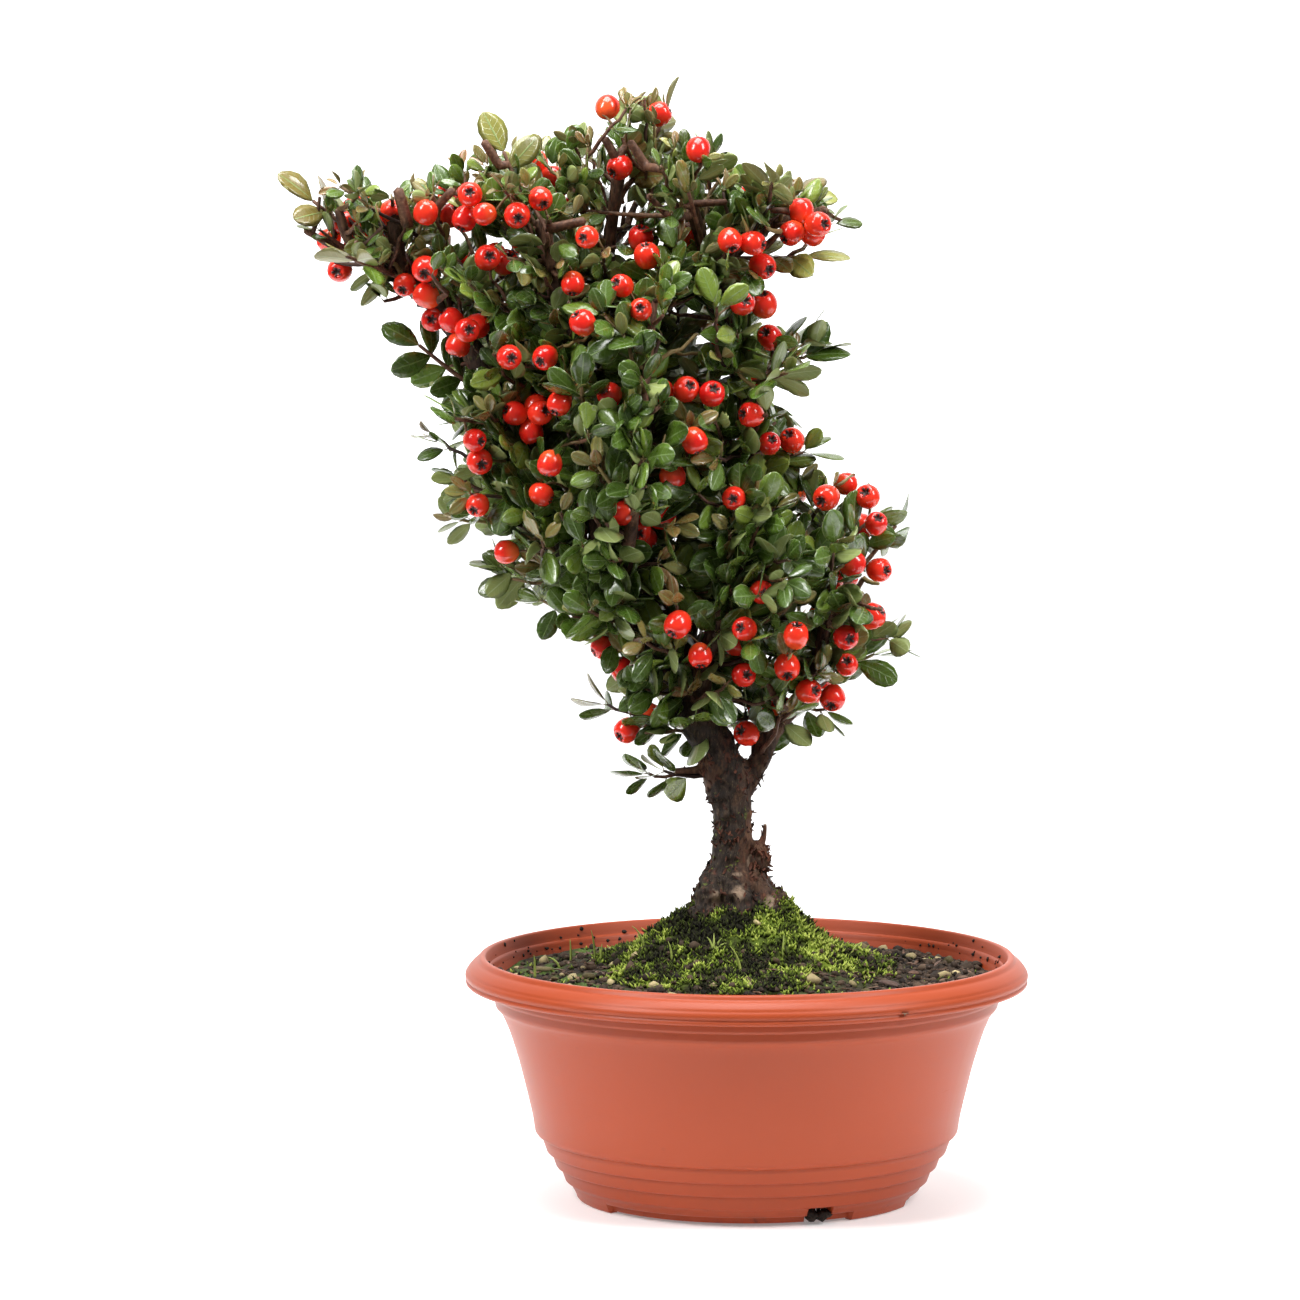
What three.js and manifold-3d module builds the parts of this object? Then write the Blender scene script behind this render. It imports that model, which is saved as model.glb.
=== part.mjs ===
// A cotoneaster praecox bonsai: a leaning trunk with a dense crown of small leaves and red berries,
// growing from a moss-covered mound of soil in a round, terracotta-coloured plastic bowl.
// Millimetres, +Z up, the bowl's feet at z = 0. The crown leans towards -X, and -Y is its front.
import * as THREE from "three";
import { mergeVertices } from "three/addons/utils/BufferGeometryUtils.js";
import Module from "manifold-3d";

const wasm = await Module();
wasm.setup();
const { Manifold } = wasm;

// Driving dimensions

const GAP = 0.35; // clearance between pieces that touch
const FINEST = 0.12; // edges shorter than this are merged away after fusing

const POT = {
  rimRadius: 110,
  height: 95.2,
  lipRadius: 102.1,
  footRadius: 66.4,
  footWidth: 4,
  footHeight: 3.4,
  floorTop: 6.6,
  segments: 32,
  feet: 3,
  gapDegrees: 90, // between two feet the ring is set back and stops short of the ground
  firstGapCentre: -98.5, // degrees from +X, so the first gap faces the front, a little to the left
  setBackRadius: 65,
  setBackRaise: 0.8,
  drainWidth: 10,
  drainTop: 7.2,
  drainOffset: 32, // degrees from a gap's centre to its drain notch
};

const SOIL = {
  level: 86,
  segments: 32,
  moundHeight: 26,
  moundRadius: 34,
  midRadius: 76,
  pebbles: 16,
  pebbleRing: 79,
  pebbleSize: 3.4,
};

// The moss lies on rings at these shares of its reach, under it and over it.
const MOSS = { reach: 54, thickness: 2.9, edge: 2.1, under: [0.2, 0.94], over: [0.94, 0.6, 0.2] };

// The trunk's sections from below the soil to where the limbs part: [shift along X, height, radius].
const TRUNK = {
  x: -4,
  y: 0,
  sides: 10,
  rootRadius: 17,
  rootBottom: 97,
  rootTop: 112.5,
  sections: [
    [-0.5, 117, 15.4], [-2, 123, 12.2], [-2, 130, 9.2], [-1.5, 138, 8.2], [-1.5, 148, 8],
    [-2, 156, 8.6], [-3, 165, 10.2], [-4, 171, 8],
  ],
  ridges: 3, // ridges that run down into the roots
  ridgeHeight: 0.09, // as a share of the radius
};

// Each ring of a leaf lies at a share of its length and has half its width as a share of the width.
const LEAF = {
  length: 16,
  width: 10,
  thickness: 0.64,
  arch: 0.16,
  rings: [[0.36, 0.42], [0.72, 0.46]],
  clear: 0.2,
  sunk: 0.02, // a leaf may share this many cubic millimetres with its own twig
  shares: [0.86, 1.12], // the smallest and the largest leaf
  tries: 9,
};

// The way a leaf leaves its twig: how much it points out of it, along it and up, and how far each strays.
const POSE = {
  out: 1.1,
  along: 0.62,
  alongStray: 0.25,
  up: [0.22, 0.62], // at every other joint
  upStray: 0.2,
  strayMore: 0.12, // added to upStray with each further attempt
  roll: 0.35,
  tip: { up: 0.1, upStray: 0.3, sideStray: 0.2 },
};

const BERRY = { radius: 5, stretch: 1.05, sink: 1.02, clear: 0.6 };

// Shoots: their length, where their tips reach in a lobe, and how far back from the tip their joints lie.
const STEM = {
  length: 40,
  shortest: 20,
  longest: 54,
  reach: 0.95,
  radius: 1.15,
  bareRoot: 3,
  joints: [26.7, 19.7, 12.7, 5.7],
};
const SPUR = { length: 20, shortest: 14, longest: 26, reach: 0.7, radius: 1.3, joints: [15.2, 4.6] };
const JOINT = 2.4; // length of a joint along its shoot
const SEAT_STEP = 4; // distance between the places on a limb where shoots can start

// A small branch into a lobe: the share of the lobe that it reaches, the length it is sought at, and its form.
const BRANCH = {
  reach: 0.5,
  length: 26,
  shortest: 12,
  bow: 3,
  sag: 4,
  thickest: 2.4,
  taper: 0.8,
  tip: 1.2,
  sides: 4,
};

const CROWN_CENTRE = new THREE.Vector3(-55, 0, 300);
const UP = new THREE.Vector3(0, 0, 1);
const FRONT = new THREE.Vector3(0, -1, 0);
const FACING = { spread: new THREE.Vector3(0.5, 2.2, 0.4), up: 0.5, front: 0.2 };
const GOLDEN_ANGLE = Math.PI * (3 - Math.sqrt(5));
const SHOOT_TRIES = 40;
const WHOLE = 0.97; // a shoot keeps at least this share of its volume once its root is cut back

// Seeded draws: the same three whole numbers always give the same number from 0 to 1

function draw(a, b, c) {
  let h = Math.imul(a + 1, 0x9e3779b1) ^ Math.imul(b + 1, 0x85ebca6b) ^ Math.imul(c + 1, 0xc2b2ae35);
  h = Math.imul(h ^ (h >>> 15), 0x2c1b3c6d);
  h = Math.imul(h ^ (h >>> 12), 0x297a2d39);
  return ((h ^ (h >>> 15)) >>> 0) / 4294967296;
}

const spread = (a, b, c) => 2 * draw(a, b, c) - 1;

// Solids

function asSolid(geometry) {
  const bare = new THREE.BufferGeometry();
  bare.setAttribute("position", geometry.getAttribute("position"));
  bare.setIndex(geometry.index);
  const merged = mergeVertices(bare, 1e-4);
  const vertProperties = new Float32Array(merged.getAttribute("position").array);
  const triVerts = new Uint32Array(merged.index.array);
  const made = new Manifold(new wasm.Mesh({ numProp: 3, vertProperties, triVerts }));
  if (made.volume() >= 0) return made;
  for (let i = 0; i < triVerts.length; i += 3) {
    [triVerts[i + 1], triVerts[i + 2]] = [triVerts[i + 2], triVerts[i + 1]];
  }
  return new Manifold(new wasm.Mesh({ numProp: 3, vertProperties, triVerts }));
}

function asGeometry(solid) {
  const mesh = solid.getMesh();
  const geometry = new THREE.BufferGeometry();
  geometry.setAttribute("position", new THREE.BufferAttribute(mesh.vertProperties, 3));
  geometry.setIndex(new THREE.BufferAttribute(mesh.triVerts, 1));
  return geometry;
}

function skin(points, faces) {
  const geometry = new THREE.BufferGeometry();
  const places = points.flatMap((p) => [p.x, p.y, p.z]);
  geometry.setAttribute("position", new THREE.Float32BufferAttribute(places, 3));
  geometry.setIndex(faces.flat());
  return asSolid(geometry);
}

// Triangles between two rings that hold m and n points, start side by side and run the same way round.
function bridge(a, m, b, n) {
  const faces = [];
  let i = 0;
  let j = 0;
  while (i < m || j < n) {
    if (i === m || (j + 1) * m <= (i + 1) * n) {
      faces.push([a + (i % m), b + ((j + 1) % n), b + (j % n)]);
      j++;
    } else {
      faces.push([a + i, a + ((i + 1) % m), b + (j % n)]);
      i++;
    }
  }
  return faces;
}

// A closed skin over a stack of rings that hold equally many points, with a flat fan at each end.
function loft(rings) {
  const sides = rings[0].length;
  const last = (rings.length - 1) * sides;
  const faces = [];
  for (let first = 0; first < last; first += sides) faces.push(...bridge(first, sides, first + sides, sides));
  for (let i = 1; i + 1 < sides; i++) faces.push([0, i + 1, i], [last, last + i, last + i + 1]);
  return skin(rings.flat(), faces);
}

// A tapered tube through points, one ring of sides at each point, turned as little as possible.
function tube(points, radii, sides, swell = () => 1) {
  const tangents = points.map((p, i) =>
    points[Math.min(i + 1, points.length - 1)].clone().sub(points[Math.max(i - 1, 0)]).normalize(),
  );
  const side = new THREE.Vector3(1, 0, 0);
  if (Math.abs(tangents[0].x) > 0.9) side.set(0, 1, 0);
  const rings = points.map((p, i) => {
    side.addScaledVector(tangents[i], -side.dot(tangents[i])).normalize();
    const across = tangents[i].clone().cross(side);
    return Array.from({ length: sides }, (_, k) => {
      const angle = (2 * Math.PI * k) / sides;
      const r = radii[i] * swell(angle, i);
      return p.clone().addScaledVector(side, r * Math.cos(angle)).addScaledVector(across, r * Math.sin(angle));
    });
  });
  return loft(rings);
}

const union = (solids) => Manifold.union(solids);

const tidied = (solid) => solid.asOriginal().simplify(FINEST);

// The bowl

// Half of the bowl's section, from the middle of its underside out, up and over the rim, and back inside.
function potProfile() {
  const { rimRadius, height, lipRadius, footRadius, footWidth, footHeight, floorTop } = POT;
  const outside = [
    [0, floorTop - 2.4],
    [footRadius - footWidth - 0.8, floorTop - 2.4],
    [footRadius - footWidth, 0],
    [footRadius, 0],
    [footRadius + 1, footHeight],
    [69.9, 7],
    [74.8, 14.9],
    [80.2, 23.2],
    [82.6, 26.4],
    [84.2, 34],
    [86.9, 46],
    [91.4, 61.8],
    [95.4, 72.4],
    [98.4, 77],
    [100.6, 91],
    [106.2, 89.6],
    [107.8, 84],
    [rimRadius, 84.8],
    [109, 89.8],
    [105.4, 93.6],
    [104.8, 95],
    [lipRadius, height],
  ];
  return outside.concat(innerWall(0), [[0, floorTop]]);
}

// The inside of the bowl's wall, from the lip down to the floor, moved inwards by clearance.
function innerWall(clearance) {
  return [
    [99.2, 86.3],
    [89.3, 61.4],
    [80.5, 28],
    [64.4, POT.floorTop],
  ].map(([r, z]) => [r - clearance, z + clearance]);
}

function radians(degrees) {
  return (degrees * Math.PI) / 180;
}

// A sector of a flat ring round the Z axis, between two heights.
function sector(inner, outer, from, to, low, high) {
  const shape = new THREE.Shape();
  shape.absarc(0, 0, outer, from, to, false);
  shape.absarc(0, 0, inner, to, from, true);
  const geometry = new THREE.ExtrudeGeometry(shape, {
    depth: high - low,
    bevelEnabled: false,
    curveSegments: 10,
  });
  return asSolid(geometry.translate(0, 0, low));
}

function makePot() {
  const points = potProfile().map(([r, z]) => new THREE.Vector2(r, z));
  const bowl = asSolid(new THREE.LatheGeometry(points, POT.segments).rotateX(Math.PI / 2));
  const cuts = [];
  for (let i = 0; i < POT.feet; i++) {
    const centre = radians(POT.firstGapCentre + (360 / POT.feet) * i);
    const half = radians(POT.gapDegrees / 2);
    const { footRadius, footWidth, footHeight, setBackRadius, setBackRaise } = POT;
    const outer = footRadius + 6;
    cuts.push(sector(setBackRadius, outer, centre - half, centre + half, -1, footHeight));
    cuts.push(sector(footRadius - 2 * footWidth, outer, centre - half, centre + half, -1, setBackRaise));
    const drain = new THREE.BoxGeometry(14, POT.drainWidth, POT.drainTop + 1);
    drain.translate(footRadius + 2, 0, (POT.drainTop - 1) / 2);
    drain.rotateZ(centre + radians(POT.drainOffset));
    cuts.push(asSolid(drain));
  }
  return bowl.subtract(union(cuts));
}

// Soil, pebbles and moss

function soilHeight(x, y) {
  const away = Math.hypot(x - TRUNK.x, y - TRUNK.y);
  const mound = SOIL.moundHeight / (1 + (away / SOIL.moundRadius) ** 4);
  const bumps = 0.8 * Math.sin(0.13 * x + 1) * Math.sin(0.11 * y + 2) + 0.5 * Math.sin(0.23 * x - 0.19 * y);
  return SOIL.level + mound + bumps;
}

// A ring of surface points, at a radius given for each angle, raised above the soil.
function surfaceRing(centreX, radius, rise) {
  return Array.from({ length: SOIL.segments }, (_, i) => {
    const angle = (2 * Math.PI * i) / SOIL.segments;
    const x = centreX + radius(angle) * Math.cos(angle);
    const y = radius(angle) * Math.sin(angle);
    return new THREE.Vector3(x, y, soilHeight(x, y) + rise(x, y));
  });
}

// A ring at a share of the way from the trunk to the moss's uneven border.
function mossRing(share, rise) {
  const border = (angle) => 1 + 0.13 * Math.sin(3 * angle + 0.5) + 0.09 * Math.sin(5 * angle + 2);
  return surfaceRing(TRUNK.x, (angle) => share * MOSS.reach * border(angle), rise);
}

function wallRing([radius, z]) {
  return surfaceRing(0, () => radius, () => 0).map((p) => p.setZ(z));
}

function makeSoil(trunkClear) {
  const edge = innerWall(GAP);
  const rings = MOSS.under.map((share) => mossRing(share, () => 0));
  rings.push(surfaceRing(0, () => SOIL.midRadius, () => 0));
  rings.push(wallRing([edge[0][0], SOIL.level]));
  rings.push(...edge.slice(1).map(wallRing));
  const pieces = [loft(rings)];
  for (let i = 0; i < SOIL.pebbles; i++) {
    const angle = i * GOLDEN_ANGLE + 0.6;
    const away = SOIL.pebbleRing * (0.86 + 0.3 * draw(i, 1, 7));
    const x = away * Math.cos(angle);
    const y = away * Math.sin(angle);
    const size = SOIL.pebbleSize * (0.7 + 0.7 * draw(i, 2, 7));
    const pebble = new THREE.OctahedronGeometry(size, 0).scale(1.25, 1, 0.75);
    pebble.rotateX(spread(i, 3, 7)).rotateZ(3 * spread(i, 4, 7));
    pieces.push(asSolid(pebble.translate(x, y, soilHeight(x, y) + 0.3 * size)));
  }
  return union(pieces).subtract(trunkClear);
}

function makeMoss(trunkClear) {
  const cushion = (x, y) => MOSS.thickness + 0.9 * Math.sin(0.31 * x + 0.6) * Math.sin(0.29 * y + 0.4);
  const rings = MOSS.under.map((share) => mossRing(share, () => GAP));
  rings.push(mossRing(1, () => MOSS.edge));
  rings.push(...MOSS.over.map((share) => mossRing(share, cushion)));
  return loft(rings).subtract(trunkClear);
}

// Trunk and limbs

// Each limb is a line of points [x, y, z] that starts inside its parent, with its radius at each end.
const LIMBS = [
  {
    path: [
      [-7, 0, 158], [-12, 0, 175], [-18, 0, 187], [-25, 0, 201], [-41, -2, 219], [-57, -4, 233], [-67, -3, 250],
      [-76, 0, 275], [-92, 2, 305], [-106, 2, 330], [-122, 0, 350], [-134, -2, 364], [-137, -5, 388],
    ],
    radii: [9, 3],
    sides: 7,
  },
  { path: [[-122, 0, 350], [-139, 3, 362], [-155, 2, 369], [-171, -3, 378]], radii: [3, 1.4] },
  { path: [[-145, 2, 364], [-154, -3, 374], [-158, -5, 386]], radii: [2.2, 1.8] },
  {
    path: [[-61, -4, 240], [-58, -14, 268], [-63, -18, 305], [-72, -14, 343], [-80, -12, 382]],
    radii: [3.9, 2.6],
  },
  {
    path: [[-41, -2, 219], [-36, 8, 245], [-40, 14, 285], [-46, 12, 330], [-54, 8, 362], [-49, 4, 405]],
    radii: [4.2, 2.4],
  },
  {
    path: [
      [-18, 0, 187], [-17, -8, 211], [-9, -12, 230], [-2, -14, 250], [3, -12, 280], [0, -6, 312],
      [-8, -3, 345], [-16, -5, 368], [-22, -10, 388],
    ],
    radii: [4.2, 2.4],
  },
  { path: [[-12, -4, 356], [-4, -2, 372], [10, -2, 380], [30, -4, 386]], radii: [2.8, 1.8] },
  {
    path: [[-25, 0, 201], [-22, 18, 230], [-26, 34, 270], [-34, 38, 312], [-36, 34, 356]],
    radii: [3.5, 1.6],
  },
  { path: [[-67, -3, 250], [-79, 18, 280], [-90, 30, 318], [-98, 30, 356]], radii: [3, 1.5] },
  {
    path: [[-41, -2, 219], [-47, -22, 242], [-44, -38, 275], [-40, -40, 315], [-36, -34, 352]],
    radii: [3.2, 1.5],
  },
  {
    path: [[-5, 0, 156], [2, 0, 165], [9, 2, 181], [18, 0, 193], [27, -3, 210], [31, -6, 236], [28, -8, 258]],
    radii: [4.6, 1.7],
  },
  { path: [[18, 0, 193], [34, 8, 208], [44, 10, 232]], radii: [2.5, 1.4] },
  { path: [[-11, 0, 168], [-20, -2, 168], [-28, -4, 168]], radii: [2, 1.2] },
  { path: [[1, -1, 139], [6, -3, 140], [8, -4, 147]], radii: [2.2, 1.4] },
  { path: [[0, -1, 130], [4, -3, 132], [8, -4, 136]], radii: [4.4, 2.4] },
];
for (const limb of LIMBS) limb.points = limb.path.map((p) => new THREE.Vector3(...p));

// The crown's lobes, each an ellipsoid full of leafy stems and berry spurs.
const LOBES = [
  { at: [-148, 0, 374], size: [27, 34, 20], stems: 3, spurs: 1 },
  { at: [-114, 0, 352], size: [24, 42, 28], stems: 3, spurs: 1 },
  { at: [-84, 0, 382], size: [32, 50, 27], stems: 4, spurs: 1 },
  { at: [-40, 0, 395], size: [28, 48, 29], stems: 4, spurs: 0 },
  { at: [6, 0, 381], size: [31, 48, 21], stems: 4, spurs: 1 },
  { at: [-96, 0, 304], size: [26, 50, 40], stems: 4, spurs: 1 },
  { at: [-47, 0, 322], size: [33, 60, 46], stems: 6, spurs: 1 },
  { at: [0, 0, 316], size: [24, 52, 38], stems: 4, spurs: 1 },
  { at: [-54, 0, 248], size: [36, 54, 32], stems: 5, spurs: 1 },
  { at: [0, 0, 250], size: [27, 48, 30], stems: 3, spurs: 0 },
  { at: [42, 0, 242], size: [20, 38, 34], stems: 3, spurs: 1 },
  { at: [0, 0, 200], size: [38, 42, 23], stems: 4, spurs: 0 },
];

// Points every few millimetres along a limb, where shoots can start, with the radius there.
function seatsOn(limb) {
  const { points, radii } = limb;
  const list = [];
  for (let i = 0; i + 1 < points.length; i++) {
    const steps = Math.max(1, Math.round(points[i].distanceTo(points[i + 1]) / SEAT_STEP));
    for (let k = 0; k < steps; k++) {
      const share = (i + k / steps) / (points.length - 1);
      const place = points[i].clone().lerp(points[i + 1], k / steps);
      list.push({ place, radius: radii[0] + (radii[1] - radii[0]) * share });
    }
  }
  list.push({ place: points[points.length - 1].clone(), radius: radii[1] });
  return list;
}

// The seat that costs least for a shoot to `tip`: about `length` away from it, near `inner`, not above it,
// on a thin limb, and not used by another shoot yet.
function bestSeat(list, tip, inner, length) {
  const cost = ({ place, radius, used }) =>
    Math.abs(place.distanceTo(tip) - length) +
    0.5 * place.distanceTo(inner) +
    0.6 * Math.max(0, place.z - tip.z) +
    2 * Math.max(0, radius - 4) +
    (used ? 20 : 0);
  return list.reduce((best, seat) => (cost(seat) < cost(best) ? seat : best));
}

const inLobe = (lobe, direction, share) =>
  new THREE.Vector3(...lobe.at).addScaledVector(new THREE.Vector3(...lobe.size).multiply(direction), share);

// Small branches that lead from the limbs into the front and the back of each lobe.
function branchesInto(lobe, number, list) {
  const { reach, length, shortest, bow, sag, thickest, taper, tip, sides } = BRANCH;
  const branches = [];
  for (const side of [-1, 1]) {
    const stray = (k) => spread(number, side + 2, 50 + k);
    const end = inLobe(lobe, new THREE.Vector3(0.5 * stray(0), side, 0.3 * stray(1)), reach);
    const seat = bestSeat(list, end, end, length);
    if (seat.place.distanceTo(end) < shortest) continue;
    const middle = seat.place.clone().lerp(end, 0.5);
    middle.y += side * bow;
    middle.z -= sag;
    const root = Math.min(thickest, taper * seat.radius);
    branches.push({ points: [seat.place, middle, end], radii: [root, tip], sides });
  }
  return branches;
}

function makeTrunk(extra) {
  const { x, y, sides, rootRadius, rootBottom, rootTop, sections, ridges, ridgeHeight } = TRUNK;
  const rows = [[0, rootBottom - extra, rootRadius], [0, rootTop, rootRadius], ...sections];
  const points = rows.map(([shift, z]) => new THREE.Vector3(x + shift, y, z));
  const radii = rows.map(([, , r]) => r + extra);
  const swell = (angle, row) => {
    const height = row < 2 ? 0 : row < 4 ? ridgeHeight : 0.4 * ridgeHeight;
    return 1 + height * Math.sin(ridges * angle + 0.6);
  };
  return tube(points, radii, sides, swell);
}

function makeLimb(limb, extra) {
  const count = limb.points.length;
  const radii = limb.points.map((_, i) => {
    const share = i / (count - 1);
    const knot = 1 + 0.1 * spread(i, count, 5);
    return (limb.radii[0] + (limb.radii[1] - limb.radii[0]) * share) * knot + extra;
  });
  return tube(limb.points, radii, limb.sides ?? 5);
}

// Leafy stems

// A bud is what grows out of three or four corners of a twig: rings of points that end in a tip.
// Its faces number the corners first, then the rings, then the tip.
function makeBud(corners, rings, tip) {
  const foot = corners.length;
  const count = rings[0].length;
  const faces = bridge(0, foot, foot, count);
  for (let r = 0; r + 1 < rings.length; r++) {
    faces.push(...bridge(foot + r * count, count, foot + (r + 1) * count, count));
  }
  const last = foot + (rings.length - 1) * count;
  for (let i = 0; i < count; i++) faces.push([last + i, last + ((i + 1) % count), last + count]);
  return { corners, points: [...rings.flat(), tip], faces };
}

// A leaf blade: two rings of four points and a tip. It leaves `base` along `way` and arches away from `up`.
function leafBud({ corners, base, way, normal, across, up, length, width }) {
  const at = (share, v, n) =>
    base
      .clone()
      .addScaledVector(way, share * length)
      .addScaledVector(up, -LEAF.arch * length * share * share)
      .addScaledVector(across, v * width)
      .addScaledVector(normal, n * LEAF.thickness);
  const round = corners.length === 3
    ? [[-1, -0.5], [1, -0.5], [1, 0.5], [-1, 0.5]]
    : [[-1, -0.5], [-1, 0.5], [1, 0.5], [1, -0.5]];
  const rings = LEAF.rings.map(([share, half]) => round.map(([v, n]) => at(share, v * half, n)));
  return makeBud(corners, rings, at(1, 0, 0));
}

// A berry: three rings of six points and a tip, its first ring close round the corners it grows from.
function berryBud({ corners, base, way, radius }) {
  const first = perpendicular(corners[0].clone().sub(base), way);
  const second = way.clone().cross(first);
  if (second.dot(corners[1].clone().sub(base)) < 0) second.negate();
  const centre = base.clone().addScaledVector(way, radius * BERRY.sink);
  const rings = [1, 2, 3].map((r) => {
    const polar = (Math.PI * r) / 4;
    return Array.from({ length: 6 }, (_, i) => {
      const angle = (Math.PI * i) / 3;
      const out = first.clone().multiplyScalar(Math.cos(angle)).addScaledVector(second, Math.sin(angle));
      return centre
        .clone()
        .addScaledVector(way, -Math.cos(polar) * radius * BERRY.stretch)
        .addScaledVector(out, Math.sin(polar) * radius);
    });
  });
  return makeBud(corners, rings, centre.clone().addScaledVector(way, radius * BERRY.stretch));
}

const perpendicular = (v, ...axes) => {
  for (const axis of axes) v.addScaledVector(axis, -v.dot(axis));
  return v.normalize();
};

// The line of a shoot, bending up towards its tip.
function shootLine(start, direction, length, lift, steps) {
  return Array.from({ length: steps + 1 }, (_, i) => {
    const share = i / steps;
    return start
      .clone()
      .addScaledVector(direction, share * length)
      .addScaledVector(UP, lift * length * share * share);
  });
}

function pointOn(line, share) {
  const at = share * (line.length - 1);
  const i = Math.min(Math.floor(at), line.length - 2);
  const place = line[i].clone().lerp(line[i + 1], at - i);
  return { place, direction: line[i + 1].clone().sub(line[i]).normalize() };
}

// The face of a shoot's leaves: up, and out to the front or the back of the shallow crown.
function faceOf(place, direction) {
  const face = place.clone().sub(CROWN_CENTRE).multiply(FACING.spread).normalize();
  face.addScaledVector(UP, FACING.up).addScaledVector(FRONT, FACING.front);
  return face.addScaledVector(direction, -face.dot(direction)).normalize();
}

// The three corners of a twig's section: its edge below, then right and left of the face above it.
function sectionAt(line, share, radius) {
  const { place, direction } = pointOn(line, share);
  const face = faceOf(place, direction);
  const side = direction.clone().cross(face);
  const corner = (v, n) => place.clone().addScaledVector(side, v * radius).addScaledVector(face, n * radius);
  return { place, direction, face, side, corners: [corner(0, -1), corner(0.87, 0.5), corner(-0.87, 0.5)] };
}

// The sections of a shoot from its root to its tip. Buds grow from the three faces between the two
// sections of each joint, and one more bud ends the shoot. Joints lie at distances back from the tip.
function shootSections(line, length, joints, radius) {
  const backs = [length, ...joints.flatMap((back) => [back + JOINT / 2, back - JOINT / 2]), 0];
  return backs.map((back) => {
    const share = 1 - back / length;
    return sectionAt(line, share, radius * (1 - 0.4 * share));
  });
}

// Slot 0 is the tip of a shoot; the others count the right, upper and left face of joint after joint.
const TIP = 0;
const slotOf = (joint, side) => 1 + 3 * joint + side;
const jointOf = (slot) => Math.floor((slot - 1) / 3);

// Where a slot's bud starts: its corners, the middle of them, and the direction out of the twig.
function seatOf(sections, slot) {
  if (slot === TIP) {
    const last = sections[sections.length - 1];
    return { ...last, base: last.place, out: last.direction };
  }
  const low = sections[1 + 2 * jointOf(slot)];
  const high = sections[2 + 2 * jointOf(slot)];
  const i = (slot - 1) % 3;
  const j = (i + 1) % 3;
  const corners = [low.corners[i], low.corners[j], high.corners[j], high.corners[i]];
  const base = corners.reduce((sum, c) => sum.add(c), new THREE.Vector3()).multiplyScalar(0.25);
  const out = base.clone().sub(low.place.clone().add(high.place).multiplyScalar(0.5)).normalize();
  return { corners, base, out, direction: low.direction, face: low.face, side: low.side };
}

// A leaf in a slot; each later attempt is smaller and strays further.
function leafIn(sections, slot, number, attempt) {
  const stray = (k) => spread(number, slot, 40 + 4 * attempt + k);
  const [smallest, full] = LEAF.shares;
  const size = (smallest + (full - smallest) * draw(number, slot, 30)) * (1 - 0.03 * attempt);
  const length = size * LEAF.length;
  const width = size * LEAF.width;
  const { corners, base, out, direction, face, side } = seatOf(sections, slot);
  const way = out.clone();
  if (slot === TIP) {
    way.addScaledVector(face, POSE.tip.up + POSE.tip.upStray * stray(0));
    way.addScaledVector(side, POSE.tip.sideStray * stray(1)).normalize();
    const across = perpendicular(side.clone(), way);
    const normal = perpendicular(face.clone(), way, across);
    return leafBud({ corners, base, way, normal, across, up: normal, length, width });
  }
  const lift = POSE.up[jointOf(slot) % 2] + (POSE.upStray + POSE.strayMore * attempt) * stray(0);
  way.multiplyScalar(POSE.out).addScaledVector(direction, POSE.along + POSE.alongStray * stray(1));
  way.addScaledVector(face, lift).normalize();
  const normal = perpendicular(corners[1].clone().sub(corners[0]), way);
  normal.applyAxisAngle(way, POSE.roll * stray(2));
  const across = perpendicular(direction.clone(), way, normal);
  const up = normal.dot(face) > 0 ? normal : normal.clone().negate();
  return leafBud({ corners, base, way, normal, across, up, length, width });
}

function berryIn(sections, slot, number) {
  const { corners, base, out } = seatOf(sections, slot);
  return berryBud({ corners, base, way: out, radius: BERRY.radius * (0.94 + 0.08 * draw(number, slot, 22)) });
}

// A bud as a closed solid of its own, to measure how far it is from others.
function budSolid({ corners, points, faces }) {
  const cap = corners.length === 3 ? [[0, 2, 1]] : [[0, 2, 1], [0, 3, 2]];
  return skin([...corners, ...points], [...faces, ...cap]);
}

// The whole shoot as one skin. Where a slot has no bud, the twig's face stays closed.
function shootSkin(sections, buds) {
  const points = sections.flatMap((section) => section.corners);
  const faces = [[0, 2, 1]];
  const open = (corners, bud) => {
    const first = points.length;
    points.push(...bud.points);
    faces.push(...bud.faces.map((face) => face.map((i) => corners[i] ?? first + i - corners.length)));
  };
  for (let s = 0; s + 1 < sections.length; s++) {
    for (let i = 0; i < 3; i++) {
      const j = (i + 1) % 3;
      const corners = [3 * s + i, 3 * s + j, 3 * s + 3 + j, 3 * s + 3 + i];
      const bud = s % 2 ? buds[slotOf((s - 1) / 2, i)] : undefined;
      if (bud) open(corners, bud);
      else faces.push([corners[0], corners[1], corners[2]], [corners[0], corners[2], corners[3]]);
    }
  }
  const last = 3 * (sections.length - 1);
  const corners = [last, last + 1, last + 2];
  if (buds[TIP]) open(corners, buds[TIP]);
  else faces.push(corners);
  return skin(points, faces);
}

// Growing the crown, each piece clear of every piece of the other nodes

const placed = []; // every solid so far, with its owner and its box

function boxesMeet(a, b, margin) {
  for (let k = 0; k < 3; k++) {
    if (a.min[k] > b.max[k] + margin || b.min[k] > a.max[k] + margin) return false;
  }
  return true;
}

// True where a solid keeps its distance from all that is placed, but for its own node and its seat.
function isClear(solid, own, seat = own) {
  const margin = GAP + 0.05;
  const box = solid.boundingBox();
  return placed.every(
    (other) =>
      other.owner === own ||
      other.owner === seat ||
      !boxesMeet(box, other.box, margin) ||
      solid.minGap(other.solid, margin) >= margin,
  );
}

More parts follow.
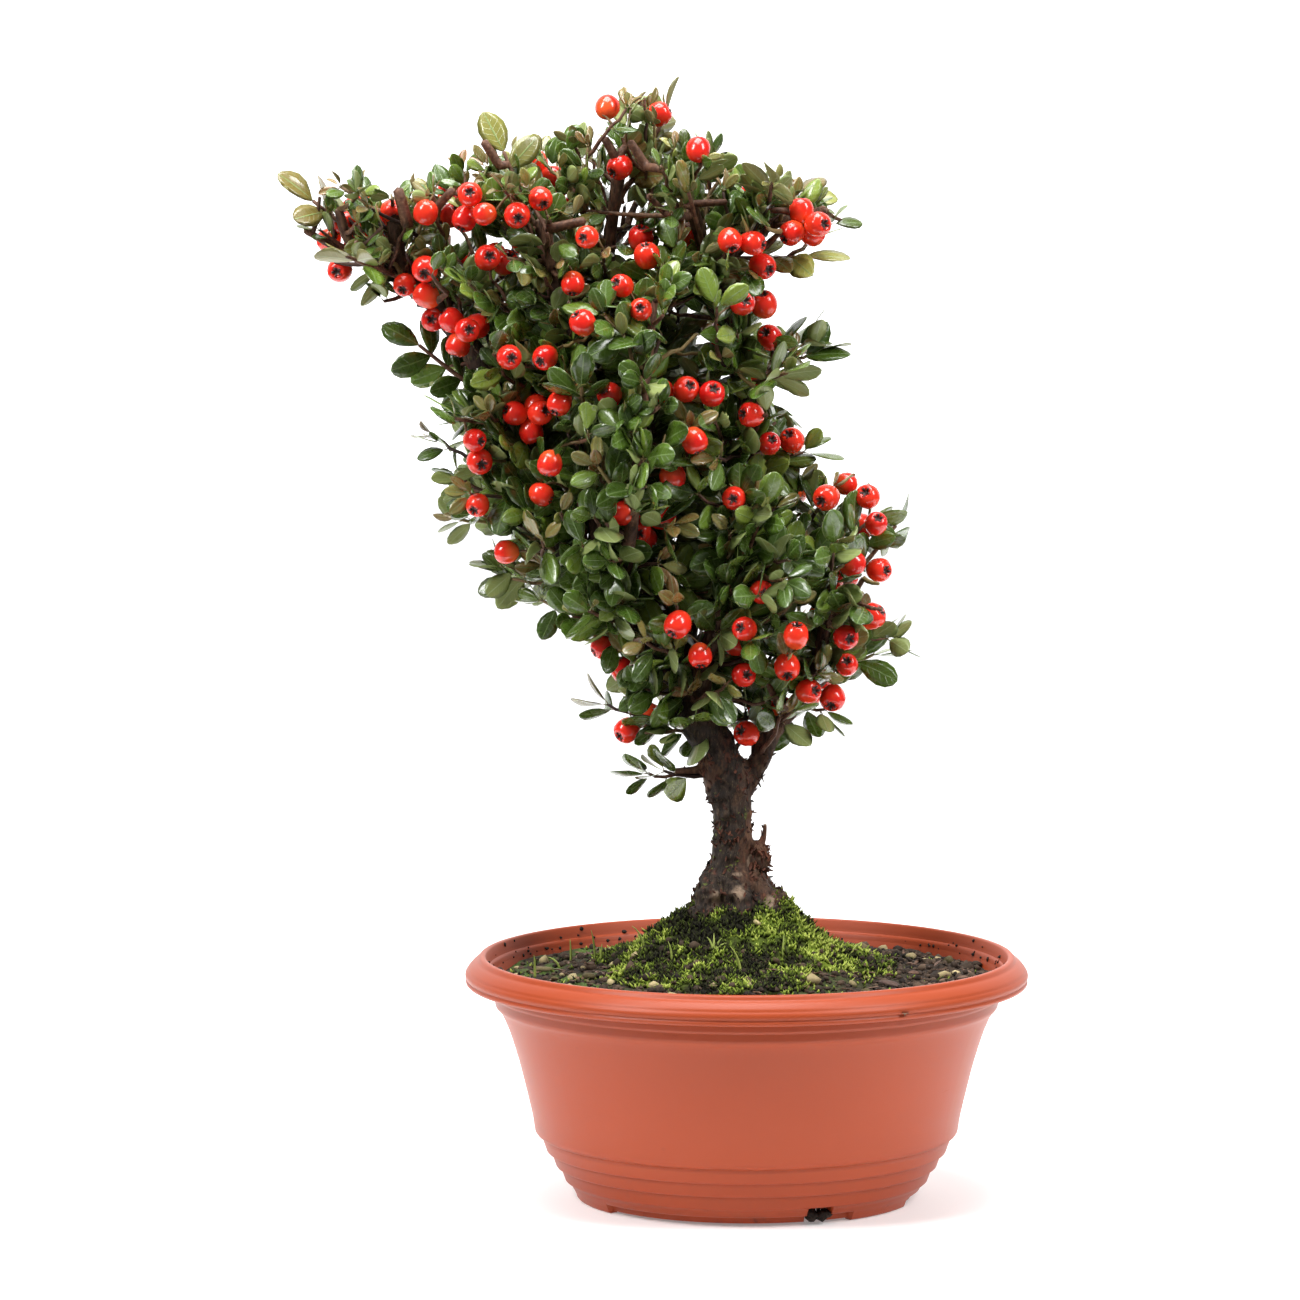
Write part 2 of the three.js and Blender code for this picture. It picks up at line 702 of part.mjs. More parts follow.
function keep(solid, owner) {
  placed.push({ solid, owner, box: solid.boundingBox() });
}

const largest = (solid) => solid.decompose().reduce((a, b) => (a.volume() > b.volume() ? a : b));

// The nth of count directions spread evenly over a sphere.
function evenDirection(index, count, turn) {
  const y = 1 - (2 * index + 1) / count;
  const around = index * GOLDEN_ANGLE + turn;
  const level = Math.sqrt(1 - y * y);
  return new THREE.Vector3(level * Math.cos(around), y, level * Math.sin(around));
}

// Tries a shoot towards places that stray further from the first, and returns the first that is clear.
function growShoot(lobe, direction, number, key, kind, seats, make) {
  for (let attempt = 0; attempt < SHOOT_TRIES; attempt++) {
    const stray = new THREE.Vector3(...[0, 1, 2].map((k) => spread(number, attempt, key + k)));
    const aim = direction.clone().addScaledVector(stray, 0.08 * attempt).normalize();
    const tip = inLobe(lobe, aim, kind.reach);
    const seat = bestSeat(seats, tip, inLobe(lobe, aim, kind.reach - 0.7), kind.length);
    const way = tip.sub(seat.place);
    const length = Math.min(way.length(), kind.longest);
    if (length < kind.shortest) continue;
    const made = make(shootLine(seat.place, way.normalize(), length, 0.08, 3), length);
    if (!made) continue;
    seat.used = true;
    return made;
  }
  return null;
}

// Cuts the root of a shoot back to the surface of the wood. A shoot that crosses the wood is refused.
function rooted(shoot, woodClear) {
  const cut = shoot.subtract(woodClear);
  if (cut.isEmpty()) return null;
  const main = largest(cut);
  return main.volume() > WHOLE * cut.volume() ? main : null;
}

function growSpurs(wood, woodClear, seats) {
  const spurs = [];
  LOBES.forEach((lobe, place) => {
    for (let k = 0; k < lobe.spurs; k++) {
      const number = place * 3 + k;
      const owner = `spur${number}`;
      const direction = evenDirection(place % 4 < 2 ? 2 : 0, 3, 2.2 * number);
      const joints = SPUR.joints.slice(place % 3 ? 1 : 0);
      const spur = growShoot(lobe, direction, number, 60, SPUR, seats, (line, length) => {
        const sections = shootSections(line, length, joints, SPUR.radius);
        const slots = joints.flatMap((_, joint) => [0, 1, 2].map((side) => slotOf(joint, side)));
        const buds = [];
        for (const slot of [TIP, ...slots]) buds[slot] = berryIn(sections, slot, number);
        if (buds.some((bud) => budSolid(bud).minGap(wood, 1) < BERRY.clear)) return null;
        const whole = rooted(shootSkin(sections, buds), woodClear);
        return whole && isClear(whole, owner, "wood") ? whole : null;
      });
      if (!spur) continue;
      keep(spur, owner);
      spurs.push(spur);
    }
  });
  return spurs;
}

function growStems(woodClear, seats) {
  const stems = [];
  LOBES.forEach((lobe, place) => {
    for (let k = 0; k < lobe.stems; k++) {
      const number = place * 8 + k;
      const owner = `stem${number}`;
      const direction = evenDirection(k, lobe.stems, 1.7 * place);
      const stem = growShoot(lobe, direction, number, 70, STEM, seats, (line, length) => {
        const joints = STEM.joints.filter((back) => back + JOINT + STEM.bareRoot < length);
        const sections = shootSections(line, length, joints, STEM.radius);
        const bare = shootSkin(sections, []);
        const twig = rooted(bare, woodClear);
        if (!twig || !isClear(twig, owner, "wood")) return null;
        return { number, sections, joints, bare, twig, buds: [], solids: [] };
      });
      if (!stem) continue;
      keep(stem.twig, owner);
      stems.push(stem);
    }
  });
  return stems;
}

// Leaf after leaf, the outermost first, each in the first of its attempts that is clear of all others.
function growLeaves(stems) {
  for (const back of [0, ...[...STEM.joints].reverse()]) {
    for (const stem of stems) {
      const joint = stem.joints.indexOf(back);
      if (back > 0 && joint < 0) continue;
      const slots = back === 0 ? [TIP] : [slotOf(joint, 0), slotOf(joint, 2)];
      for (const slot of slots) growLeaf(stem, slot);
    }
  }
}

function growLeaf(stem, slot) {
  const owner = `stem${stem.number}`;
  for (let attempt = 0; attempt < LEAF.tries; attempt++) {
    const bud = leafIn(stem.sections, slot, stem.number, attempt);
    const solid = budSolid(bud);
    if (!isClear(solid, owner) || solid.intersect(stem.bare).volume() > LEAF.sunk) continue;
    const touches = (other) => solid.minGap(other, LEAF.clear) < LEAF.clear;
    if (stem.solids.some((other, at) => jointOf(at) !== jointOf(slot) && touches(other))) continue;
    stem.buds[slot] = bud;
    stem.solids[slot] = solid;
    keep(solid, owner);
    return;
  }
}

// Assembly

const COLOURS = {
  pot: new THREE.MeshStandardMaterial({ color: 0xc4603f, roughness: 0.42, metalness: 0 }),
  soil: new THREE.MeshStandardMaterial({ color: 0x3a2c20, roughness: 0.95, metalness: 0 }),
  moss: new THREE.MeshStandardMaterial({ color: 0x5d7a22, roughness: 0.9, metalness: 0 }),
  bark: new THREE.MeshStandardMaterial({ color: 0x4b3a2c, roughness: 0.85, metalness: 0 }),
  leaf: new THREE.MeshStandardMaterial({ color: 0x3d6b2e, roughness: 0.4, metalness: 0 }),
  berry: new THREE.MeshStandardMaterial({ color: 0xd8281c, roughness: 0.22, metalness: 0 }),
};

const bonsai = new THREE.Group();
bonsai.name = "cotoneaster_bonsai";

function add(name, solid, material) {
  const mesh = new THREE.Mesh(asGeometry(solid), material);
  mesh.name = name;
  bonsai.add(mesh);
}

const twoDigits = (n) => String(n).padStart(2, "0");

const seatList = LIMBS.flatMap(seatsOn);
const branches = LOBES.flatMap((lobe, i) => branchesInto(lobe, i, seatList));
const limbs = [...LIMBS, ...branches];
seatList.push(...branches.flatMap(seatsOn));

const wood = tidied(union([makeTrunk(0), ...limbs.map((limb) => makeLimb(limb, 0))]));
const trunkClear = makeTrunk(GAP);
const woodClear = union([trunkClear, ...limbs.map((limb) => makeLimb(limb, GAP))]);
const soil = makeSoil(trunkClear);
const moss = makeMoss(trunkClear);

keep(wood, "wood");
keep(moss, "moss");
keep(soil, "soil");

const spurs = growSpurs(wood, woodClear, seatList);
const stems = growStems(woodClear, seatList);
growLeaves(stems);

add("pot", makePot(), COLOURS.pot);
add("soil", soil, COLOURS.soil);
add("moss", moss, COLOURS.moss);
add("trunk_and_limbs", wood, COLOURS.bark);
spurs.forEach((spur, i) => add(`berry_spur_${twoDigits(i + 1)}`, spur, COLOURS.berry));
stems.forEach((stem, i) => {
  const whole = rooted(shootSkin(stem.sections, stem.buds), woodClear);
  add(`leafy_stem_${twoDigits(i + 1)}`, whole, COLOURS.leaf);
});

// The origin is moved from the bowl's axis to the middle of the whole plant's footprint.
const box = new THREE.Box3().setFromObject(bonsai);
bonsai.position.set(-(box.min.x + box.max.x) / 2, -(box.min.y + box.max.y) / 2, 0);

export default bonsai;
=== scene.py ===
# The detailed look of a cotoneaster praecox bonsai in its round plastic bowl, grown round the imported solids.
# Shapes are worked out in millimetres from the bowl's axis and set down in metres in the model's own frame.
import math

import bpy
import numpy as np
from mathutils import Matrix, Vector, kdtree


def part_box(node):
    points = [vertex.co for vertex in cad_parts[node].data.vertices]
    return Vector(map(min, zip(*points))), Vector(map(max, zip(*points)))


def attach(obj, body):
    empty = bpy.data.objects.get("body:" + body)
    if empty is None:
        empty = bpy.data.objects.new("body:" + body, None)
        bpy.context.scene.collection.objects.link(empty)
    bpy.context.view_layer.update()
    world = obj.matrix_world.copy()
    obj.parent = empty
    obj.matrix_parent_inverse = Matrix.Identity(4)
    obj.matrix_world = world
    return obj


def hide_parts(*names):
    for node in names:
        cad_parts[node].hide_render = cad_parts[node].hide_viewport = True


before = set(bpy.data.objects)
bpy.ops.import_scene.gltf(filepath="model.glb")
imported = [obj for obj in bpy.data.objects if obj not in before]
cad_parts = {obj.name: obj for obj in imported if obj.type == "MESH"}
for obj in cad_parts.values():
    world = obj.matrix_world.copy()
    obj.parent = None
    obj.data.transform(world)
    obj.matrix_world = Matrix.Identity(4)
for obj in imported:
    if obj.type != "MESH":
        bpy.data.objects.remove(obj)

bpy.context.view_layer.update()

MM = 0.001
pot_low, pot_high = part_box("pot")
AXIS = np.array([(pot_low.x + pot_high.x) / 2, (pot_low.y + pot_high.y) / 2, 0.0])
UP = np.array([0.0, 0.0, 1.0])
TURN = 2 * math.pi
GOLDEN_ANGLE = math.pi * (3 - math.sqrt(5))

# The photograph's camera: its place from the bowl's axis in metres, its tilt down in radians, its lens.
CAMERA_PLACE = np.array([-0.03775, -2.5, 0.4717])
CAMERA_TILT = 0.1024
CAMERA_LENS = 178.86
CAMERA_SENSOR = 36
PHOTO_SIDE = 1300


# Numbers drawn from seeds

def draw(a, b, c):
    """The solids' own seeded draw, from 0 to 1."""
    mask = 0xFFFFFFFF
    h = (((a + 1) * 0x9E3779B1) ^ ((b + 1) * 0x85EBCA6B) ^ ((c + 1) * 0xC2B2AE35)) & mask
    h = ((h ^ (h >> 15)) * 0x2C1B3C6D) & mask
    h = ((h ^ (h >> 12)) * 0x297A2D39) & mask
    return (h ^ (h >> 15)) / 2**32


def spread(a, b, c):
    return 2 * draw(a, b, c) - 1


def lattice(cell, seed):
    """A value from -1 to 1 at each whole-numbered point."""
    i, j, k = (cell[:, n].astype(np.uint32) for n in range(3))
    h = (i * np.uint32(0x9E3779B1)) ^ (j * np.uint32(0x85EBCA6B)) ^ (k * np.uint32(0xC2B2AE35))
    h ^= np.uint32(seed * 7919 + 1)
    h = (h ^ (h >> np.uint32(15))) * np.uint32(0x2C1B3C6D)
    h = (h ^ (h >> np.uint32(12))) * np.uint32(0x297A2D39)
    return ((h ^ (h >> np.uint32(15))) / 2**31 - 1).astype(float)


def noise(points, size, seed=0):
    """Smooth noise from -1 to 1 at points, with lumps about `size` across."""
    p = np.asarray(points, float) / size
    cell = np.floor(p).astype(np.int64)
    f = p - cell
    f = f * f * (3 - 2 * f)
    total = np.zeros(len(p))
    for corner in np.ndindex(2, 2, 2):
        weight = np.prod(np.where(corner, f, 1 - f), axis=1)
        total += weight * lattice(cell + np.array(corner), seed)
    return total


def unit(v):
    v = np.asarray(v, float)
    return v / np.maximum(np.linalg.norm(v, axis=-1, keepdims=True), 1e-12)


def distances(points, place):
    return np.linalg.norm(points - place, axis=1)


def square_to(v, axis):
    """v without its part along axis, at length 1."""
    v = v - np.sum(v * axis, axis=-1, keepdims=True) * axis
    return unit(v)


# Meshes

class Shape:
    """Points, faces of three or four corners, and numbers on the points, gathered for one mesh."""

    def __init__(self):
        self.points, self.faces, self.numbers, self.count = [], [], {}, 0

    def add(self, points, faces, **numbers):
        points = np.asarray(points, float).reshape(-1, 3)
        for face in faces:
            face = np.asarray(face, np.int64)
            if len(face):
                self.faces.append(face + self.count)
        self.points.append(points)
        self.count += len(points)
        for name, values in numbers.items():
            values = np.asarray(values, float)
            size = (len(points), 3) if values.shape[-1:] == (3,) else (len(points),)
            self.numbers.setdefault(name, []).append(np.broadcast_to(values, size))

    def mesh(self, name):
        mesh = bpy.data.meshes.new(name)
        points = np.concatenate(self.points) * MM + AXIS
        sizes = np.concatenate([np.full(len(f), f.shape[1]) for f in self.faces])
        corners = np.concatenate([f.ravel() for f in self.faces])
        mesh.vertices.add(len(points))
        mesh.vertices.foreach_set("co", points.astype(np.float32).ravel())
        mesh.loops.add(len(corners))
        mesh.loops.foreach_set("vertex_index", corners.astype(np.int32))
        mesh.polygons.add(len(sizes))
        starts = np.concatenate([[0], np.cumsum(sizes)[:-1]])
        mesh.polygons.foreach_set("loop_start", starts.astype(np.int32))
        mesh.polygons.foreach_set("use_smooth", np.ones(len(sizes), bool))
        for key, parts in self.numbers.items():
            mark(mesh, key, np.concatenate(parts))
        mesh.update(calc_edges=True)
        mesh.validate()
        return mesh

    def place(self, name, material, slot, replaces=()):
        settle(name, self.mesh(name), material, replaces)


def mark(mesh, name, values):
    """Numbers, or triples of them, on the points of a mesh."""
    triple = values.ndim == 2
    layer = mesh.attributes.new(name, "FLOAT_VECTOR" if triple else "FLOAT", "POINT")
    layer.data.foreach_set("vector" if triple else "value", values.astype(np.float32).ravel())


def vectors(items, key):
    """The vectors that a mesh's items hold."""
    values = np.empty(len(items) * 3)
    items.foreach_get(key, values)
    return values.reshape(-1, 3)


def link(name, data):
    """A new object in the scene."""
    made = bpy.data.objects.new(name, data)
    bpy.context.scene.collection.objects.link(made)
    return made


def settle(name, mesh, material, replaces=()):
    """Puts a finished mesh in the scene as a piece on the part's one body."""
    piece = link(name, mesh)
    mesh.materials.append(material)
    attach(piece, "root")
    if replaces:
        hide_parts(*replaces)


def turn_round(count):
    """Angles evenly round a circle."""
    return TURN * np.arange(count) / count


def polar(radius, angle, z, x=0.0):
    """Points at a distance and an angle from an upright axis."""
    return np.stack(np.broadcast_arrays(x + radius * np.cos(angle), radius * np.sin(angle), z), axis=-1)


def ring_faces(rows, sides):
    """Quads between stacked rings of points, wound outwards where the rings turn left and rise."""
    row = np.arange(rows - 1)[:, None] * sides
    side = np.arange(sides)[None, :]
    after = (side + 1) % sides
    corners = [row + side, row + after, row + sides + after, row + sides + side]
    return np.stack(corners, axis=-1).reshape(-1, 4)


def closed_rings(rows, sides):
    """Faces of stacked rings, closed by a first and a last point that follow the rings' own points."""
    around = np.arange(sides)
    after = (around + 1) % sides
    count, last = rows * sides, (rows - 1) * sides
    start = np.stack([np.full(sides, count), after, around], axis=1)
    end = np.stack([np.full(sides, count + 1), last + around, last + after], axis=1)
    return [ring_faces(rows, sides), start, end]


def turned(x, y, angle):
    """Two parts of a place or direction, turned in their plane."""
    return x * np.cos(angle) - y * np.sin(angle), x * np.sin(angle) + y * np.cos(angle)


def copies(faces, count, step):
    """The same faces for each of `count` copies that have `step` points each."""
    faces = np.array(faces)
    return (np.arange(count)[:, None, None] * step + faces).reshape(-1, faces.shape[1])


def frames_along(points):
    """Directions along a line and two square to it, turned as little as possible."""
    points = np.asarray(points, float)
    ahead = unit(np.gradient(points, axis=0))
    side = np.array([1.0, 0, 0]) if abs(ahead[0][0]) < 0.9 else np.array([0, 1.0, 0])
    sides = []
    for direction in ahead:
        side = square_to(side, direction)
        sides.append(side)
    sides = np.array(sides)
    return ahead, sides, np.cross(ahead, sides)


def add_tube(shape, points, radii, count, **numbers):
    """A round tube along points with a closed, slightly rounded end."""
    points = np.asarray(points, float)
    ahead, side, across = frames_along(points)
    angle = turn_round(count)
    out = side[:, None] * np.cos(angle)[None, :, None] + across[:, None] * np.sin(angle)[None, :, None]
    body = (points[:, None] + out * np.asarray(radii)[:, None, None]).reshape(-1, 3)
    tips = np.stack([points[0], points[-1] + ahead[-1] * radii[-1] * 0.6])
    shape.add(np.concatenate([body, tips]), closed_rings(len(points), count), **numbers)


def smooth_line(points, radii, step):
    """The same line through the same points, rounded and cut into steps."""
    points, radii = np.asarray(points, float), np.asarray(radii, float)
    padded = np.concatenate([[2 * points[0] - points[1]], points, [2 * points[-1] - points[-2]]])
    line, thick = [], []
    for i in range(len(points) - 1):
        a, b, c, d = padded[i : i + 4]
        pieces = max(1, round(np.linalg.norm(c - b) / step))
        for t in np.arange(pieces) / pieces:
            p = b + 0.5 * t * (c - a + t * (2 * a - 5 * b + 4 * c - d + t * (3 * (b - c) + d - a)))
            line.append(p)
            thick.append(radii[i] + (radii[i + 1] - radii[i]) * t)
    line.append(points[-1])
    thick.append(radii[-1])
    return np.array(line), np.array(thick)


# Materials

class Finish:
    """A material's nodes round one Principled shader, with short calls for the kinds of node used here."""

    def __init__(self, name, **shader):
        self.material = bpy.data.materials.new(name)
        self.material.use_nodes = True
        self.tree = self.material.node_tree
        self.tree.nodes.clear()
        self.shader = self.tree.nodes.new("ShaderNodeBsdfPrincipled")
        end = self.tree.nodes.new("ShaderNodeOutputMaterial")
        self.tree.links.new(self.shader.outputs[0], end.inputs["Surface"])
        for key, value in shader.items():
            self.shader.inputs[key.replace("_", " ")].default_value = value

    def put(self, socket, value):
        if isinstance(value, bpy.types.NodeSocket):
            self.tree.links.new(value, socket)
        elif isinstance(value, tuple) and len(value) == 3 and socket.type == "RGBA":
            socket.default_value = (*value, 1)
        else:
            socket.default_value = value

    def make(self, kind, inputs, **settings):
        node = self.tree.nodes.new(kind)
        for key, value in settings.items():
            setattr(node, key, value)
        for key, value in inputs.items():
            self.put(node.inputs[key], value)
        return node

    def number(self, name):
        return self.make("ShaderNodeAttribute", {}, attribute_name=name).outputs["Fac"]

    def numbers(self, name):
        node = self.make("ShaderNodeAttribute", {}, attribute_name=name)
        return self.apart(node.outputs["Vector"])

    def apart(self, vector):
        return self.make("ShaderNodeSeparateXYZ", {0: vector}).outputs

    def place(self):
        return self.make("ShaderNodeTexCoord", {}).outputs["Object"]

    def calc(self, operation, a, b=0.0, c=0.0, clamp=False):
        node = self.make("ShaderNodeMath", {0: a, 1: b, 2: c}, operation=operation, use_clamp=clamp)
        return node.outputs[0]

    def times(self, a, b):
        return self.calc("MULTIPLY", a, b)

    def line(self, value, slope, start, clamp=False):
        return self.calc("MULTIPLY_ADD", value, slope, start, clamp)

    def less(self, a, b):
        return self.calc("SUBTRACT", a, b)

    def noise(self, scale, detail=3.0, roughness=0.5, vector=None, distortion=0.0):
        inputs = {"Scale": scale, "Detail": detail, "Roughness": roughness, "Distortion": distortion}
        inputs["Vector"] = vector or self.place()
        return self.make("ShaderNodeTexNoise", inputs).outputs["Fac"]

    def cells(self, scale, vector=None):
        inputs = {"Scale": scale, "Vector": vector or self.place()}
        return self.make("ShaderNodeTexVoronoi", inputs).outputs["Distance"]

    def stretch(self, x, y, z):
        node = self.make("ShaderNodeVectorMath", {0: self.place(), 1: (x, y, z)}, operation="MULTIPLY")
        return node.outputs[0]

    def step(self, value, low, high, start=0.0, end=1.0):
        inputs = {0: value, 1: low, 2: high, 3: start, 4: end}
        return self.make("ShaderNodeMapRange", inputs, interpolation_type="SMOOTHSTEP").outputs[0]

    def patches(self, low, high, *noise):
        """1 where noise is over high, 0 where it is under low."""
        return self.step(self.noise(*noise), low, high)

    def mix(self, share, a, b):
        return self.make("ShaderNodeMix", {0: share, 6: a, 7: b}, data_type="RGBA").outputs[2]

    def over(self, colour, share, strength, other):
        """The colour with another one over it, where share times strength is high."""
        return self.mix(self.times(share, strength), colour, other)

    def ramp(self, value, *stops):
        node = self.make("ShaderNodeValToRGB", {0: value})
        elements = node.color_ramp.elements
        while len(elements) < len(stops):
            elements.new(0.5)
        for element, (position, colour) in zip(elements, stops):
            element.position = position
            element.color = (*colour, 1)
        return node.outputs[0]

    def relief(self, height, distance, strength=1.0, under=None):
        inputs = {"Height": height, "Distance": distance * MM, "Strength": strength}
        if under:
            inputs["Normal"] = under
        return self.make("ShaderNodeBump", inputs).outputs[0]

    def finish(self, colour, roughness, normal=None):
        self.put(self.shader.inputs["Base Color"], colour)
        self.put(self.shader.inputs["Roughness"], roughness)
        if normal:
            self.put(self.shader.inputs["Normal"], normal)
        return self.material


def plastic():
    f = Finish("terracotta_plastic", Specular_IOR_Level=0.28)
    cloud = f.noise(9, 3)
    colour = f.mix(cloud, (0.305, 0.045, 0.012), (0.345, 0.056, 0.016))
    dirt = f.patches(0.7, 0.76, 150, 4, 0.62)
    inner = f.number("inside")
    colour = f.over(colour, dirt, f.line(inner, 0.85, 0.1), (0.035, 0.022, 0.015))
    low = f.step(f.apart(f.place())[2], 0.006, 0.0)
    soiled = f.times(low, f.patches(0.55, 0.68, 90, 4, 0.7))
    colour = f.over(colour, soiled, 0.75, (0.03, 0.018, 0.012))
    scratch = f.step(f.noise(14, 6, 0.75, f.stretch(1, 1, 9), 1.2), 0.66, 0.69)
    rough = f.line(cloud, 0.12, 0.35)
    rough = f.line(scratch, 0.1, rough)
    rough = f.line(inner, 0.12, rough)
    bump = f.relief(scratch, 0.006, 0.3, f.relief(f.noise(900, 2), 0.02, 0.5))
    return f.finish(colour, rough, bump)


def soil_finish():
    f = Finish("potting_soil", Specular_IOR_Level=0.25)
    clods = f.noise(420, 5, 0.65)
    tone = f.number("tone")
    colour = f.ramp(
        clods, (0.25, (0.008, 0.005, 0.004)), (0.5, (0.028, 0.018, 0.012)), (0.75, (0.075, 0.05, 0.034)),
    )
    green = f.times(f.patches(0.42, 0.62, 60, 3), tone)
    colour = f.mix(green, colour, f.mix(f.noise(700, 2), (0.03, 0.055, 0.012), (0.1, 0.16, 0.03)))
    bump = f.relief(f.noise(1500, 3), 0.4, 0.8, f.relief(clods, 1.2, 0.9))
    return f.finish(colour, f.step(clods, 0.2, 0.8, 0.72, 0.98), bump)


def moss_finish():
    f = Finish("moss", Specular_IOR_Level=0.2)
    tone = f.number("tone")
    fine = f.noise(900, 3, 0.6)
    mixed = f.line(fine, 0.45, f.less(tone, 0.22))
    colour = f.ramp(
        mixed, (0.0, (0.01, 0.009, 0.006)), (0.3, (0.026, 0.029, 0.007)), (0.55, (0.075, 0.11, 0.012)),
        (0.8, (0.19, 0.26, 0.026)), (1.0, (0.4, 0.47, 0.09)),
    )
    return f.finish(colour, 0.85, f.relief(fine, 0.8, 0.8))


def bark_finish():
    f = Finish("bark", Specular_IOR_Level=0.3)
    thick = f.number("thick")
    grain = f.noise(260, 6, 0.68, f.stretch(1.6, 1.6, 0.55), 0.4)
    flakes = f.cells(320, f.stretch(1, 1, 0.6))
    cracks = f.step(f.noise(330, 3, 0.6, f.stretch(1.5, 1.5, 0.4), 0.8), 0.36, 0.46)
    old = f.ramp(
        grain, (0.3, (0.009, 0.006, 0.004)), (0.5, (0.033, 0.021, 0.015)), (0.72, (0.1, 0.062, 0.04)),
    )
    young = f.ramp(
        grain, (0.3, (0.03, 0.014, 0.009)), (0.52, (0.12, 0.055, 0.03)), (0.75, (0.28, 0.15, 0.085)),
    )
    colour = f.mix(thick, young, old)
    red = f.times(f.patches(0.56, 0.66, 120, 3), f.step(flakes, 0.55, 0.2))
    colour = f.over(colour, red, 0.55, (0.17, 0.055, 0.03))
    lichen = f.times(f.patches(0.6, 0.66, 330, 4, 0.7), f.patches(0.45, 0.6, 40, 2))
    colour = f.over(colour, lichen, f.times(thick, 0.85), (0.15, 0.19, 0.035))
    fibres = f.step(f.noise(900, 3, 0.6, f.stretch(2.2, 2.2, 0.3)), 0.58, 0.66)
    colour = f.over(colour, fibres, f.times(thick, 0.5), (0.16, 0.125, 0.07))
    # Painted shade: the cracks, low in the bump, are darkened nearly to black on the thicker wood.
    colour = f.over(colour, f.less(1.0, cracks), f.times(thick, 0.6), (0.008, 0.005, 0.004))
    pale = f.mix(grain, (0.13, 0.075, 0.045), (0.46, 0.34, 0.24))
    colour = f.over(colour, f.number("scar"), f.step(grain, 0.2, 0.5, 0.55, 0.95), pale)
    bump = f.relief(grain, 0.9, 0.9, f.relief(cracks, 0.7, 0.8))
    return f.finish(colour, f.step(grain, 0.3, 0.8, 0.62, 0.88), bump)


def twig_finish():
    f = Finish("young_bark", Specular_IOR_Level=0.35)
    grain = f.noise(700, 4, 0.6)
    tone = f.number("tone")
    brown = f.ramp(
        grain, (0.3, (0.045, 0.018, 0.011)), (0.55, (0.13, 0.058, 0.032)), (0.8, (0.26, 0.15, 0.085)),
    )
    colour = f.mix(f.step(tone, 0.55, 1.0), brown, f.mix(grain, (0.16, 0.1, 0.035), (0.27, 0.22, 0.08)))
    colour = f.mix(f.step(tone, 0.35, 0.0), colour, (0.03, 0.014, 0.01))
    return f.finish(colour, 0.62, f.relief(grain, 0.35, 0.7))


def leaf_finish():
    f = Finish("leaf", Specular_IOR_Level=0.5, Coat_Weight=0.5, Coat_Roughness=0.12)
    u, v, side = f.numbers("blade")
    tone, age, other = f.numbers("tone")
    away = f.calc("ABSOLUTE", v)
    dark = f.mix(tone, (0.033, 0.068, 0.007), (0.092, 0.168, 0.015))
    light = f.mix(other, (0.15, 0.24, 0.028), (0.26, 0.33, 0.05))
    top = f.mix(f.step(f.line(other, 0.35, f.times(tone, 0.8)), 0.66, 1.1), dark, light)
    mottle = f.noise(380, 3)
    top = f.over(top, mottle, 0.2, (0.12, 0.2, 0.026))
    fresh = f.mix(other, (0.27, 0.085, 0.04), (0.34, 0.3, 0.09))
    top = f.over(top, age, 0.85, fresh)
    # The veins leave the midrib at a slant: pale lines at even steps of u less a share of v.
    slant = f.line(away, -0.22, u)
    wave = f.calc("ABSOLUTE", f.less(f.calc("FRACT", f.times(slant, 6.5)), 0.5))
    veins = f.step(wave, 0.1, 0.0)
    midrib = f.step(away, 0.085, 0.02)
    edge = f.step(away, 0.93, 0.99)
    lines = f.calc("MAXIMUM", f.times(veins, 0.22), f.times(midrib, 0.75))
    top = f.mix(lines, top, (0.2, 0.3, 0.1))
    top = f.over(top, edge, 0.75, (0.38, 0.44, 0.2))
    spot = f.patches(0.74, 0.78, 240, 2, 0.5)
    top = f.over(top, spot, 0.7, (0.13, 0.075, 0.02))
    under = f.mix(tone, (0.15, 0.2, 0.045), (0.28, 0.33, 0.1))
    under = f.over(under, f.noise(1500, 2), 0.3, (0.3, 0.35, 0.15))
    under = f.over(under, age, 0.6, (0.3, 0.15, 0.08))
    under = f.mix(f.calc("MAXIMUM", f.times(midrib, 0.7), f.times(veins, 0.2)), under, (0.36, 0.42, 0.2))
    below = f.step(side, 0.1, -0.3)
    stalk = f.step(side, 1.4, 1.6)
    colour = f.mix(below, top, under)
    colour = f.mix(stalk, colour, (0.17, 0.13, 0.045))
    rough = f.line(mottle, 0.16, 0.2)
    rough = f.line(below, 0.25, rough, True)
    groove = f.less(0.0, f.calc("MAXIMUM", f.times(veins, 0.6), midrib))
    bump = f.relief(f.noise(1400, 2), 0.08, 0.5, f.relief(groove, 0.16, 0.7))
    return f.finish(colour, rough, bump)


